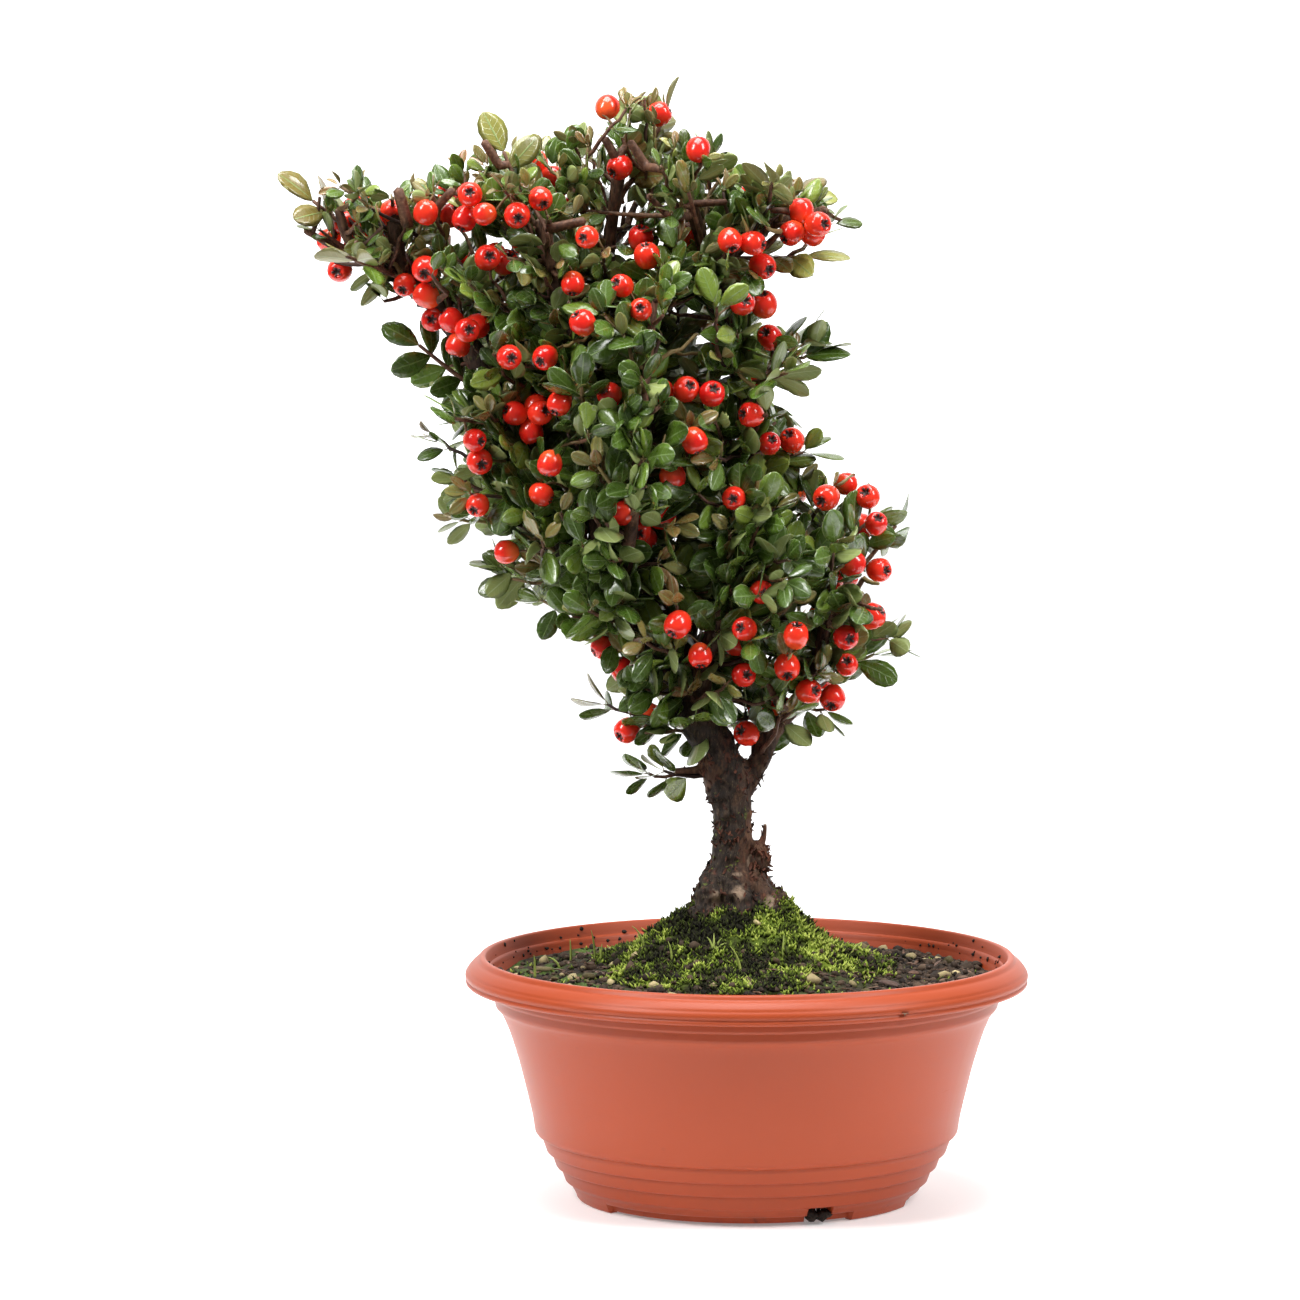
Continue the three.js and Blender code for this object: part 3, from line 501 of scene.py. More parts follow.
def berry_finish():
    f = Finish("berry", Specular_IOR_Level=0.45, Coat_Weight=0.3, Coat_Roughness=0.06)
    x, y, z = f.numbers("berry")
    tone, _, other = f.numbers("tone")
    red = f.mix(tone, (0.72, 0.011, 0.009), (0.88, 0.032, 0.013))
    mottle = f.noise(300, 3)
    red = f.over(red, f.step(mottle, 0.45, 0.75), 0.3, (0.86, 0.08, 0.02))
    red = f.over(red, f.step(z, 0.3, -1.0), f.times(other, 0.6), (0.86, 0.16, 0.03))
    specks = f.step(f.cells(620), 0.13, 0.08)
    red = f.over(red, specks, f.times(other, 0.35), (0.28, 0.03, 0.02))
    # The calyx: a dark star with five arms in the hollow at the far end.
    away = f.calc("SQRT", f.calc("ADD", f.times(x, x), f.times(y, y)))
    arms = f.calc("COSINE", f.times(f.calc("ARCTAN2", y, x), 5.0))
    reach = f.line(arms, 0.12, 0.3)
    star = f.times(f.step(f.less(away, reach), 0.07, -0.04), f.step(z, 0.2, 0.4))
    halo = f.times(f.step(f.less(away, reach), 0.3, 0.02), f.step(z, 0.2, 0.4))
    colour = f.over(red, halo, 0.45, (0.2, 0.012, 0.012))
    colour = f.mix(star, colour, f.mix(f.noise(1500, 2), (0.016, 0.006, 0.006), (0.1, 0.04, 0.03)))
    return f.finish(colour, f.line(star, 0.5, 0.2), f.relief(f.noise(500, 2), 0.03, 0.3))


def plain_finish(name, low, high, scale, roughness, depth):
    """A dry or waxy thing in two shades, told apart by its own tone."""
    f = Finish(name, Specular_IOR_Level=0.3)
    patch = f.noise(scale, 4, 0.6)
    shade = f.line(f.less(patch, 0.5), 0.8, f.number("tone"), True)
    return f.finish(f.mix(shade, low, high), roughness, f.relief(patch, depth, 0.8))


# The bowl

POT = {
    "columns": 192,
    "feet": 3,
    "gap": 90,
    "first_gap": -98.5,
    "drain_half": 4.3,
    "drain_offset": 32,
    "drain_top": 7.2,
    "drain_from": 61,
}

# The wall's three shallow steps near the foot: each starts with a small ledge and leans in again.
STEPS = {"low": (69.9, 7.0), "high": (80.7, 24.2), "count": 3, "ledge": 1.15, "lean": 1.5, "crease": 0.45}

# Half of the bowl's section from the middle of its underside out: (radius, height).
UNDERSIDE = [(0, 4.2), (30, 4.2), (58, 4.2), (61.4, 4.2), (61.9, 3.6)]
FOOT = [(62.4, 0.5), (62.8, 0), (65.6, 0), (66.2, 0.15), (66.6, 0.6), (67.0, 1.8), (67.5, 2.9), (67.9, 3.6)]
# The foot's points between two feet: the ring is set back under a small ledge and stops short of the ground.
SET_BACK = [
    (62.4, 1.3), (62.8, 0.85), (64.3, 0.8), (64.7, 0.95), (64.95, 1.4), (65.2, 3.0), (65.5, 3.75),
    (67.7, 3.6),
]
FOOT_TOP = [(68.15, 3.95), (68.8, 5.2)]
WALL_OUTSIDE = [
    (80.7, 24.6), (81.3, 24.9), (82.2, 25.5), (82.8, 26.4), (83.05, 27.6), (83.4, 30.5), (84.2, 34.4),
    (85.1, 38.2), (86, 42), (87, 46.2), (88.1, 50.6), (89.3, 55), (90.5, 59), (91.7, 62.8), (93, 66.6),
    (94.4, 70), (95.5, 72.4), (96.4, 73.9), (97.2, 74.8), (97.9, 75.4), (98.3, 76), (98.45, 77),
    (98.5, 79.2), (98.55, 79.7), (98.95, 80), (99.05, 80.6), (99.1, 83), (99.4, 86), (100, 89.4),
    (100.6, 90.6), (102.2, 90.9), (104.6, 90.3), (106.2, 88.8),
]
# The rim: its underside, a bead at its lower edge, a groove, the convex band, another groove, and the lip.
RIM = [
    (107.0, 86.6), (107.5, 85), (107.9, 84.3), (108.5, 84.05), (109.2, 84.25), (109.65, 84.7), (109.8, 85.2),
    (109.7, 85.7), (109.3, 86.0), (109.25, 86.2), (109.6, 86.5), (109.92, 87), (110, 87.8), (109.85, 88.6),
    (109.5, 89.3), (108.95, 89.75), (108.95, 90.1), (108.4, 90.8), (107.6, 91.7), (106.7, 92.5), (105.9, 93),
    (105.2, 93.3), (104.95, 93.6), (104.7, 94.3), (104.4, 94.8), (104.0, 95.1), (103.5, 95.2), (102.8, 95.2),
    (102.3, 95.05),
]
INSIDE = [
    (101.9, 94.5), (101.1, 91.9), (100.4, 89.6), (100.2, 89.3), (99.2, 86.3), (97.9, 83), (95, 76),
    (89.3, 61.4), (80.5, 28), (64.4, 6.6), (30, 6.6), (0, 6.6),
]


def stepped_wall():
    low, high = np.array(STEPS["low"]), np.array(STEPS["high"])
    out = np.array([high[1] - low[1], low[0] - high[0]]) / np.linalg.norm(high - low)
    points = []
    for k in range(STEPS["count"]):
        for share in (0.0, 0.02, 0.07, 0.12, 0.22, 0.45, 0.7, 0.86, 0.93, 0.97):
            lift = STEPS["ledge"] * min(1.0, share / 0.12) ** 0.5 - STEPS["lean"] * share
            lift -= STEPS["crease"] * (share > 0.9)
            points.append(low + (high - low) * (k + share) / STEPS["count"] + out * lift)
    return [tuple(point) for point in points]


BOWL = UNDERSIDE + FOOT + FOOT_TOP + stepped_wall() + WALL_OUTSIDE + RIM + INSIDE
FOOT_START = len(UNDERSIDE)
LIP_POINT = len(BOWL) - len(INSIDE)  # from this point of the section on, the surface is the bowl's inside


def make_pot(material):
    degrees = list(np.arange(POT["columns"]) * 360 / POT["columns"])
    lows, notches = [], []
    for i in range(POT["feet"]):
        centre = POT["first_gap"] + i * 360 / POT["feet"]
        lows.append((centre, POT["gap"] / 2))
        notches.append((centre + POT["drain_offset"], POT["drain_half"]))
    for centre, half in lows + notches:
        for end in (centre - half, centre + half):
            degrees += [(end + off) % 360 for off in (-0.35, -0.1, 0.1, 0.35)]
    degrees = np.array(sorted(degrees))
    section = np.array(BOWL, float)
    low, notch = share_within(degrees, lows), share_within(degrees, notches)
    radius = np.tile(section[:, 0], (len(degrees), 1))
    height = np.tile(section[:, 1], (len(degrees), 1))
    outer = np.arange(len(section)) < LIP_POINT
    foot = slice(FOOT_START, FOOT_START + len(SET_BACK))
    for values, back in zip((radius, height), np.array(SET_BACK).T):
        values[:, foot] += (back - values[:, foot]) * low[:, None]
    drained = outer & (section[:, 1] < POT["drain_top"]) & (section[:, 0] > POT["drain_from"])
    lifted = POT["drain_top"] - 0.6 * (1 - section[:, 1] / POT["drain_top"])
    height = np.where(drained[None, :], height + (lifted[None, :] - height) * notch[:, None], height)
    points = polar(radius, np.radians(degrees)[:, None], height)
    columns, rows = radius.shape
    inner = np.arange(1, rows - 1)
    body = points[:, inner].transpose(1, 0, 2).reshape(-1, 3)
    ends = np.array([[0, 0, section[0][1]], [0, 0, section[-1][1]]])
    inside = np.concatenate([np.repeat(inner >= LIP_POINT, columns), [0, 1]])
    shape = Shape()
    shape.add(np.concatenate([body, ends]), closed_rings(len(inner), columns), inside=inside)
    shape.place("bowl", material, "pot_plastic", replaces=["pot"])


def share_within(degrees, spans):
    """1 inside the spans of (centre, half width), 0 outside, with a short slope between."""
    share = np.zeros(len(degrees))
    for centre, half in spans:
        away = np.abs((degrees - centre + 180) % 360 - 180)
        share = np.maximum(share, np.clip((half - away) / 0.2 + 0.5, 0, 1))
    return share


# Soil and moss

TRUNK_X = -4
SOIL_LEVEL, MOUND_HEIGHT, MOUND_RADIUS = 86, 26, 34
WALL = [(98.85, 86.65), (88.95, 61.75), (80.15, 28.35), (64.05, 6.95)]
MOSS_REACH = 54
SOIL_SIDES, SOIL_RINGS = 200, 74
MOSS_SIDES, MOSS_RINGS = 160, 46


def soil_height(x, y):
    away = np.hypot(x - TRUNK_X, y)
    mound = MOUND_HEIGHT / (1 + (away / MOUND_RADIUS) ** 4)
    bumps = 0.8 * np.sin(0.13 * x + 1) * np.sin(0.11 * y + 2) + 0.5 * np.sin(0.23 * x - 0.19 * y)
    return SOIL_LEVEL + mound + bumps


def moss_border(angle):
    return MOSS_REACH * (1 + 0.13 * np.sin(3 * angle + 0.5) + 0.09 * np.sin(5 * angle + 2))


def flat(x, y):
    return np.stack([x, y, np.zeros_like(x)], axis=-1)


def ground_height(x, y):
    """The soil with its clods, level where it meets the bowl."""
    here = flat(x, y)
    edge = np.clip((97 - np.hypot(x, y)) / 8, 0, 1)
    clods = 1.1 * noise(here, 5, 3) + 0.7 * noise(here, 2.4, 4) + 0.45 * noise(here, 1.3, 5)
    return soil_height(x, y) - 0.6 + clods * (0.35 + 0.65 * edge)


def make_soil(material):
    angle = turn_round(SOIL_SIDES)
    rows = []
    for radius in (*np.linspace(6, 98, SOIL_RINGS), WALL[0][0]):
        x, y = radius * np.cos(angle), radius * np.sin(angle)
        rows.append(np.stack([x, y, ground_height(x, y)], axis=-1))
    rows[-1][:, 2] = np.minimum(rows[-1][:, 2], WALL[0][1] - 0.3)
    rows += [polar(radius, angle, z) for radius, z in WALL[1:]]
    ends = np.array([[0, 0, ground_height(np.zeros(1), np.zeros(1))[0]], [0, 0, WALL[-1][1]]])
    points = np.concatenate([*rows, ends])
    shape = Shape()
    faces = [part[:, ::-1] for part in closed_rings(len(rows), SOIL_SIDES)]
    shape.add(points, faces, tone=np.clip(0.75 - points[:, 0] / 90, 0, 1))
    shape.place("soil_bed", material, "potting_soil", replaces=["soil"])


def moss_height(x, y):
    here = flat(x, y)
    angle = np.arctan2(y, x - TRUNK_X)
    share = np.hypot(x - TRUNK_X, y) / moss_border(angle)
    cushion = 2.9 + 0.9 * np.sin(0.31 * x + 0.6) * np.sin(0.29 * y + 0.4)
    cushion = cushion + 1.5 * noise(here, 9, 11) + 0.9 * noise(here, 4, 12) + 0.5 * noise(here, 2, 13)
    fade = np.clip((1.02 - share) / 0.16, 0, 1)
    shoulder = 4.5 * np.exp(-(((x - 13) / 9) ** 2 + ((y + 1) / 10) ** 2))
    return soil_height(x, y) - 0.5 + (cushion + 0.4) * np.sqrt(fade) + shoulder


def moss_tone(x, y):
    """How bright the moss is: brightest to the right in front, dark near the trunk and to the left."""
    here = flat(x, y)
    bright = np.exp(-(((x - 36) / 22) ** 2 + ((y + 18) / 30) ** 2))
    away = np.clip(np.hypot(x - TRUNK_X, y) / 40 - 0.35, 0, 1)
    patches = 0.46 * noise(here, 8, 21) + 0.5 * noise(here, 3.2, 22)
    return np.clip(0.13 + 0.2 * away + 0.44 * bright + patches, 0, 1)


def make_moss(material):
    angle = turn_round(MOSS_SIDES)
    shape = Shape()
    rows = []
    shares = np.concatenate([np.linspace(0.16, 1.0, MOSS_RINGS), [1.01, 0.93, 0.16]])
    for i, share in enumerate(shares):
        sunk = 0.6 if i == MOSS_RINGS else 1.6
        row = polar(share * moss_border(angle), angle, 0.0, TRUNK_X)
        x, y = row[:, 0], row[:, 1]
        row[:, 2] = moss_height(x, y) if i < MOSS_RINGS else soil_height(x, y) - sunk
        rows.append(row)
    rows.append(rows[0])
    body = np.concatenate(rows)
    faces = ring_faces(len(rows), MOSS_SIDES)[:, ::-1]
    shape.add(body, [faces], tone=moss_tone(body[:, 0], body[:, 1]) * 0.75)
    shape.place("moss_cushion", material, "moss_green", replaces=["moss"])


def scatter_on(count, seed, low, high, centre=0.0):
    """Even places on a ring of ground between two radii."""
    rng = np.random.default_rng(seed)
    radius = np.sqrt(rng.uniform(low * low, high * high, count))
    angle = rng.uniform(0, TURN, count)
    return centre + radius * np.cos(angle), radius * np.sin(angle), rng


def inside_wall(x, y, z, margin=2.0):
    """True where a place lies clear of the bowl's wall."""
    return np.hypot(x, y) < np.interp(z, [61, 86, 95], [89, 98.8, 101.5]) - margin


THIRD = TURN / 3
# A tuft's points: three round its foot, three round its middle and the tip.
TUFT_FACES = [
    (0, 1, 4), (0, 4, 3), (1, 2, 5), (1, 5, 4), (2, 0, 3), (2, 3, 5), (3, 4, 6), (4, 5, 6), (5, 3, 6),
    (0, 2, 1),
]


# Tufts on the cushion and on the soil round it: (count, seed, nearest, furthest, middle, whether on moss).
TUFTS = [(12800, 31, 7, 62, TRUNK_X, True), (2600, 32, 40, 94, 0.0, False)]


def make_tufts(material):
    """Short mossy shoots: leaning three-sided spikes, thick on the cushion and thin on the soil round it."""
    shape = Shape()
    for count, seed, low, high, centre, on_moss in TUFTS:
        x, y, rng = scatter_on(count, seed, low, high, centre)
        angle = np.arctan2(y, x - TRUNK_X)
        share = np.hypot(x - TRUNK_X, y) / moss_border(angle)
        patch = noise(flat(x, y), 11, 41) + 0.3 * noise(flat(x, y), 4, 42)
        if on_moss:
            keep = (share < 1.06) & (patch > -1.2)
        else:
            keep = (share > 0.98) & (patch - 0.004 * x > 0.12) & inside_wall(x, y, 87.0)
        x, y, share, angle = x[keep], y[keep], share[keep], angle[keep]
        ground = np.where(share < 1, moss_height(x, y), ground_height(x, y))
        n = len(x)
        height = rng.uniform(1.0, 3.0, n) * (1 if on_moss else 0.8)
        lean = rng.normal(0, 0.6, (n, 2))
        width = rng.uniform(0.34, 0.8, n)
        turn = rng.uniform(0, TURN, n)
        base = np.stack([x, y, ground - 0.5], axis=-1)
        tip = base + np.stack([lean[:, 0] * height, lean[:, 1] * height, height + 0.5], axis=-1)
        middle = base * 0.45 + tip * 0.55
        points = [base + polar(0.5 * width, turn + k * THIRD, 0.0) for k in range(3)]
        points += [middle + polar(0.9 * width, turn + 0.7 + k * THIRD, 0.0) for k in range(3)]
        points = np.stack([*points, tip], axis=1)
        tone = moss_tone(x, y) + rng.normal(0, 0.12, n) + (0.04 if on_moss else 0.1)
        tones = np.stack([tone - 0.3] * 3 + [tone] * 3 + [tone + 0.28], axis=1)
        shape.add(points, [copies(TUFT_FACES, n, 7)], tone=tones.ravel())
    shape.place("moss_tufts", material, "moss_green")


def lumps(rng, size, flatten, fine=True):
    """Points and faces of rough stones: eight-sided solids, cut once more where they are fine."""
    count = len(size)
    base = np.array([(1, 0, 0), (-1, 0, 0), (0, 1, 0), (0, -1, 0), (0, 0, 1), (0, 0, -1)], float)
    faces = [(0, 2, 4), (2, 1, 4), (1, 3, 4), (3, 0, 4), (2, 0, 5), (1, 2, 5), (3, 1, 5), (0, 3, 5)]
    if fine:
        edges, cut = {}, []
        for a, b, c in faces:
            sides = (frozenset(pair) for pair in ((a, b), (b, c), (c, a)))
            ab, bc, ca = (edges.setdefault(side, 6 + len(edges)) for side in sides)
            cut += [(a, ab, ca), (b, bc, ab), (c, ca, bc), (ab, bc, ca)]
        base = np.concatenate([base, [0.96 * unit(base[list(pair)].sum(axis=0)) for pair in edges]])
        faces = cut
    jitter = 1 + rng.normal(0, 0.12, (count, len(base), 1))
    scale = rng.uniform(0.7, 1.25, (count, 1, 3)) * np.array([1.15, 1, flatten])
    shaped = base[None] * jitter * scale * size[:, None, None]
    turn = rng.uniform(0, TURN, count)
    tilt = rng.normal(0, 0.35, count)
    x, y, z = np.moveaxis(shaped, 2, 0)
    y, z = turned(y, z, tilt[:, None])
    x, y = turned(x, y, turn[:, None])
    return np.stack([x, y, z], axis=-1), copies(faces, count, len(base))


def set_down(shape, stones, middle, tone):
    """Adds stones at their places, each with its tone."""
    points, faces = stones
    tone = np.repeat(np.broadcast_to(tone, (len(points),)), points.shape[1])
    shape.add(points + middle[:, None], [faces], tone=tone)


PEBBLES, SMALL_PEBBLES = 16, 34
CRUMBS, SPECKS, MUD_AND_SHADE_LUMPS = 6500, 170, 26
FINE_CRUMB = 0.9  # a crumb over this size has more faces


def make_pebbles(material):
    """The sixteen pebbles of the solids and smaller ones."""
    rng = np.random.default_rng(51)
    place = []
    for i in range(PEBBLES):
        angle = i * GOLDEN_ANGLE + 0.6
        away = 79 * (0.86 + 0.3 * draw(i, 1, 7))
        place.append((away * math.cos(angle), away * math.sin(angle), 3.4 * (0.7 + 0.7 * draw(i, 2, 7))))
    x, y, more = scatter_on(SMALL_PEBBLES, 52, 50, 95)
    keep = inside_wall(x, y, 87.0, 3.5)
    small = np.stack([x, y, more.gamma(5, 0.2, len(x)) + 0.4], axis=1)[keep]
    place = np.concatenate([place, small])
    shape = Shape()
    x, y, size = place.T
    middle = np.stack([x, y, soil_height(x, y) + 0.3 * size], axis=1)
    set_down(shape, lumps(rng, size, 0.7), middle, rng.uniform(-0.2, 0.8, len(size)))
    shape.place("pebbles", material, "potting_soil")


def make_crumbs(material):
    """Dark crumbs of soil, specks of it on the wall, and dark mud in the notch at the front that is partly
    painted shade.
    """
    x, y, more = scatter_on(CRUMBS, 53, 34, 97.5)
    keep = inside_wall(x, y, 88.0, 2.2) & (x + 30 * more.normal(0, 1, len(x)) > -62)
    x, y = x[keep], y[keep]
    size = more.gamma(1.7, 0.3, len(x)) + 0.3
    angle = np.arctan2(y, x - TRUNK_X)
    on_moss = np.hypot(x - TRUNK_X, y) < moss_border(angle)
    ground = np.where(on_moss, moss_height(x, y), ground_height(x, y))
    middle = np.stack([x, y, ground + 0.25 * size], axis=1)
    tones = more.uniform(0, 1, len(x))
    shape = Shape()
    for fine in (True, False):
        some = (size > FINE_CRUMB) == fine
        set_down(shape, lumps(more, size[some], 0.8, fine), middle[some], tones[some])
    # Specks of soil that stick to the inside of the wall, just over the ground.
    angle = more.uniform(0, TURN, SPECKS)
    z = np.minimum(87.5 + more.gamma(1.3, 1.5, SPECKS), 94)
    radius = np.interp(z, [86.3, 89.3, 94.5], [99.2, 100.2, 101.9])
    set_down(shape, lumps(more, more.uniform(0.3, 0.95, SPECKS), 0.9), polar(radius, angle, z), 0.1)
    # Mud that has dried in the drain notch at the front: dark lumps that are partly real mud and partly
    # painted shade of the notch.
    turn = math.radians(POT["first_gap"] + POT["drain_offset"])
    mud_and_shade = lumps(more, more.uniform(1.0, 2.3, MUD_AND_SHADE_LUMPS), 0.8)
    across, deep = more.uniform(-4.2, 3.8, MUD_AND_SHADE_LUMPS), more.uniform(63.2, 67.2, MUD_AND_SHADE_LUMPS)
    middle = polar(deep, turn, more.uniform(1.9, 5.0, MUD_AND_SHADE_LUMPS)) + polar(across, turn + math.pi / 2, 0.0)
    set_down(shape, mud_and_shade, middle, 0.12)
    shape.place("soil_crumbs", material, "potting_soil")


# Trunk and limbs

# Each limb: the line of points (x, y, z) that it follows, and its radius at both ends.
LIMBS = [
    ([(-7, 0, 158), (-12, 0, 175), (-18, 0, 187), (-25, 0, 201), (-41, -2, 219), (-57, -4, 233),
      (-67, -3, 250), (-76, 0, 275), (-92, 2, 305), (-106, 2, 330), (-122, 0, 350), (-134, -2, 364),
      (-137, -5, 388)], (9, 3)),
    ([(-122, 0, 350), (-139, 3, 362), (-155, 2, 369), (-171, -3, 378)], (3, 1.4)),
    ([(-145, 2, 364), (-154, -3, 374), (-158, -5, 386)], (2.2, 1.8)),
    ([(-61, -4, 240), (-58, -14, 268), (-63, -18, 305), (-72, -14, 343), (-80, -12, 382)], (3.9, 2.6)),
    ([(-41, -2, 219), (-36, 8, 245), (-40, 14, 285), (-46, 12, 330), (-54, 8, 362),
      (-49, 4, 405)], (4.2, 2.4)),
    ([(-18, 0, 187), (-17, -8, 211), (-9, -12, 230), (-2, -14, 250), (3, -12, 280), (0, -6, 312),
      (-8, -3, 345), (-16, -5, 368), (-22, -10, 388)], (4.2, 2.4)),
    ([(-12, -4, 356), (-4, -2, 372), (10, -2, 380), (30, -4, 386)], (2.8, 1.8)),
    ([(-25, 0, 201), (-22, 18, 230), (-26, 34, 270), (-34, 38, 312), (-36, 34, 356)], (3.5, 1.6)),
    ([(-67, -3, 250), (-79, 18, 280), (-90, 30, 318), (-98, 30, 356)], (3, 1.5)),
    ([(-41, -2, 219), (-47, -22, 242), (-44, -38, 275), (-40, -40, 315), (-36, -34, 352)], (3.2, 1.5)),
    ([(-5, 0, 156), (2, 0, 165), (9, 2, 181), (18, 0, 193), (27, -3, 210), (31, -6, 236),
      (28, -8, 258)], (4.6, 1.7)),
    ([(18, 0, 193), (34, 8, 208), (44, 10, 232)], (2.5, 1.4)),
    ([(-11, 0, 168), (-20, -2, 168), (-28, -4, 168)], (2, 1.2)),
    ([(1, -1, 139), (6, -3, 140), (8, -4, 147)], (2.2, 1.4)),
    ([(0, -1, 130), (4, -3, 132), (8, -4, 136)], (4.4, 2.4)),
]

# The lobes that the solids' stems fill: (centre, half widths).
LOBES = [
    ((-148, 0, 374), (27, 34, 20)), ((-114, 0, 352), (24, 42, 28)), ((-84, 0, 382), (32, 50, 27)),
    ((-40, 0, 395), (28, 48, 29)), ((6, 0, 381), (31, 48, 21)), ((-96, 0, 304), (26, 50, 40)),
    ((-47, 0, 322), (33, 60, 46)), ((0, 0, 316), (24, 52, 38)), ((-54, 0, 248), (36, 54, 32)),
    ((0, 0, 250), (27, 48, 30)), ((42, 0, 242), (20, 38, 34)), ((0, 0, 200), (38, 42, 23)),
]


def seats_on(points, radii):
    """Places a few millimetres apart along a limb, with the radius there."""
    points, seats = np.asarray(points, float), []
    for i in range(len(points) - 1):
        steps = max(1, math.floor(np.linalg.norm(points[i + 1] - points[i]) / 4 + 0.5))
        for k in range(steps):
            share = (i + k / steps) / (len(points) - 1)
            place = points[i] + (points[i + 1] - points[i]) * k / steps
            seats.append((place, radii[0] + (radii[1] - radii[0]) * share))
    seats.append((points[-1], radii[1]))
    return seats


def branches_into_lobes():
    """The solids' small branches, by the same rule and draws: to the front and the back of each lobe."""
    seats = [seat for points, radii in LIMBS for seat in seats_on(points, radii)]
    places = np.array([place for place, _ in seats])
    thick = np.array([radius for _, radius in seats])
    branches = []
    for number, (at, size) in enumerate(LOBES):
        for side in (-1, 1):
            lean = np.array([0.5 * spread(number, side + 2, 50), side, 0.3 * spread(number, side + 2, 51)])
            end = np.array(at, float) + np.array(size) * lean * 0.5
            away = distances(places, end)
            cost = np.abs(away - 26) + 0.5 * away
            cost += 0.6 * np.maximum(0, places[:, 2] - end[2]) + 2 * np.maximum(0, thick - 4)
            best = int(np.argmin(cost))
            if away[best] < 12:
                continue
            middle = (places[best] + end) / 2 + np.array([0, side * 3, -4])
            branches.append(([places[best], middle, end], (min(2.4, 0.8 * thick[best]), 1.2)))
    return branches


def limb_radii(points, radii):
    """The limb's radius at each of its points, with the solids' small swellings."""
    count = len(points)
    even = np.linspace(*radii, count)
    return [radius * (1 + 0.1 * spread(i, count, 5)) for i, radius in enumerate(even)]


# The trunk: (x, height, radius).
TRUNK = [
    (-4, 97, 16.5), (-4, 111, 16), (-4.5, 117, 13.5), (-5, 123, 10.4), (-5.3, 130, 8.3), (-5.5, 146, 7.4),
    (-6, 156, 7.8), (-7, 165, 9.4), (-8, 171, 7.6),
]
# Old roots that swell out of the trunk's foot: the points of each, and its radii from top to bottom.
ROOTS = [
    ([(-9, -2, 133), (-12.5, -6, 126), (-14.5, -8.5, 117), (-16, -10, 105)], (3, 4.4, 5.4, 6)),
    ([(-5, -3, 132), (-3.5, -7, 126), (-2.5, -10, 117), (-2, -12.5, 105)], (3.4, 4.4, 5, 5.6)),
    ([(-1, -2, 131), (3.5, -4.5, 124), (8, -7, 117), (13, -10, 105)], (3.2, 4.2, 4.4, 5.2)),
    ([(2, 0, 117), (9, -4, 119), (14, -6, 119)], (4, 3, 2)),
    ([(-10, 3, 131), (-14, 6, 122), (-17, 8, 106)], (3.4, 4.8, 6)),
    ([(-4, 3, 133), (-4, 8, 124), (-3, 12.5, 106)], (3.8, 5, 6)),
    ([(0, 3, 131), (7, 5, 120), (13, 8, 105)], (3.4, 4.6, 5.6)),
]
KNOBS = [
    (-17, -5.5, 121.5, 3), (-12, -6.5, 128, 2.6), (-12, -2, 141, 1.8), (-6, -7, 141, 2), (0.4, -3, 151, 2),
    (-11.5, -2, 155, 2.4), (-3, -6.5, 161, 2.6), (-9.5, 5, 158, 3), (-4, 7, 146, 2.2), (8, -7, 118, 3),
    (-8, -6.5, 151, 1.6), (15, -5, 112, 4.2), (-20, -7, 111, 4.2), (-9, -14, 110, 4), (-14, -9, 118, 3),
]
BURL = [
    (3.6, -4, 133, 2.8), (6, -4.6, 131, 2.3), (6.4, -4, 134.5, 2), (4.6, -5.4, 137.5, 2), (8, -5, 133, 1.5),
    (7.4, -4.4, 137.4, 1.3),
]
# Where old roots were cut, pale wood faces the front: (x, height, half width, half height).
SCARS = [(-12.2, 119, 1.7, 3.4), (-3.2, 121.5, 2.0, 2.8), (8.6, 117.5, 2.1, 2.1), (-4, 128, 1.6, 0.8)]
# Two short limbs at the burl that are finer here than in the solid: their points and radii.
FINER = {
    13: ([(1, -1, 138), (6, -3, 140), (7, -4, 147)], (1.8, 0.9)),
    14: ([(0, -1, 130), (3, -3, 132)], (3.6, 3)),
}
WOOD_VOXEL = 0.96


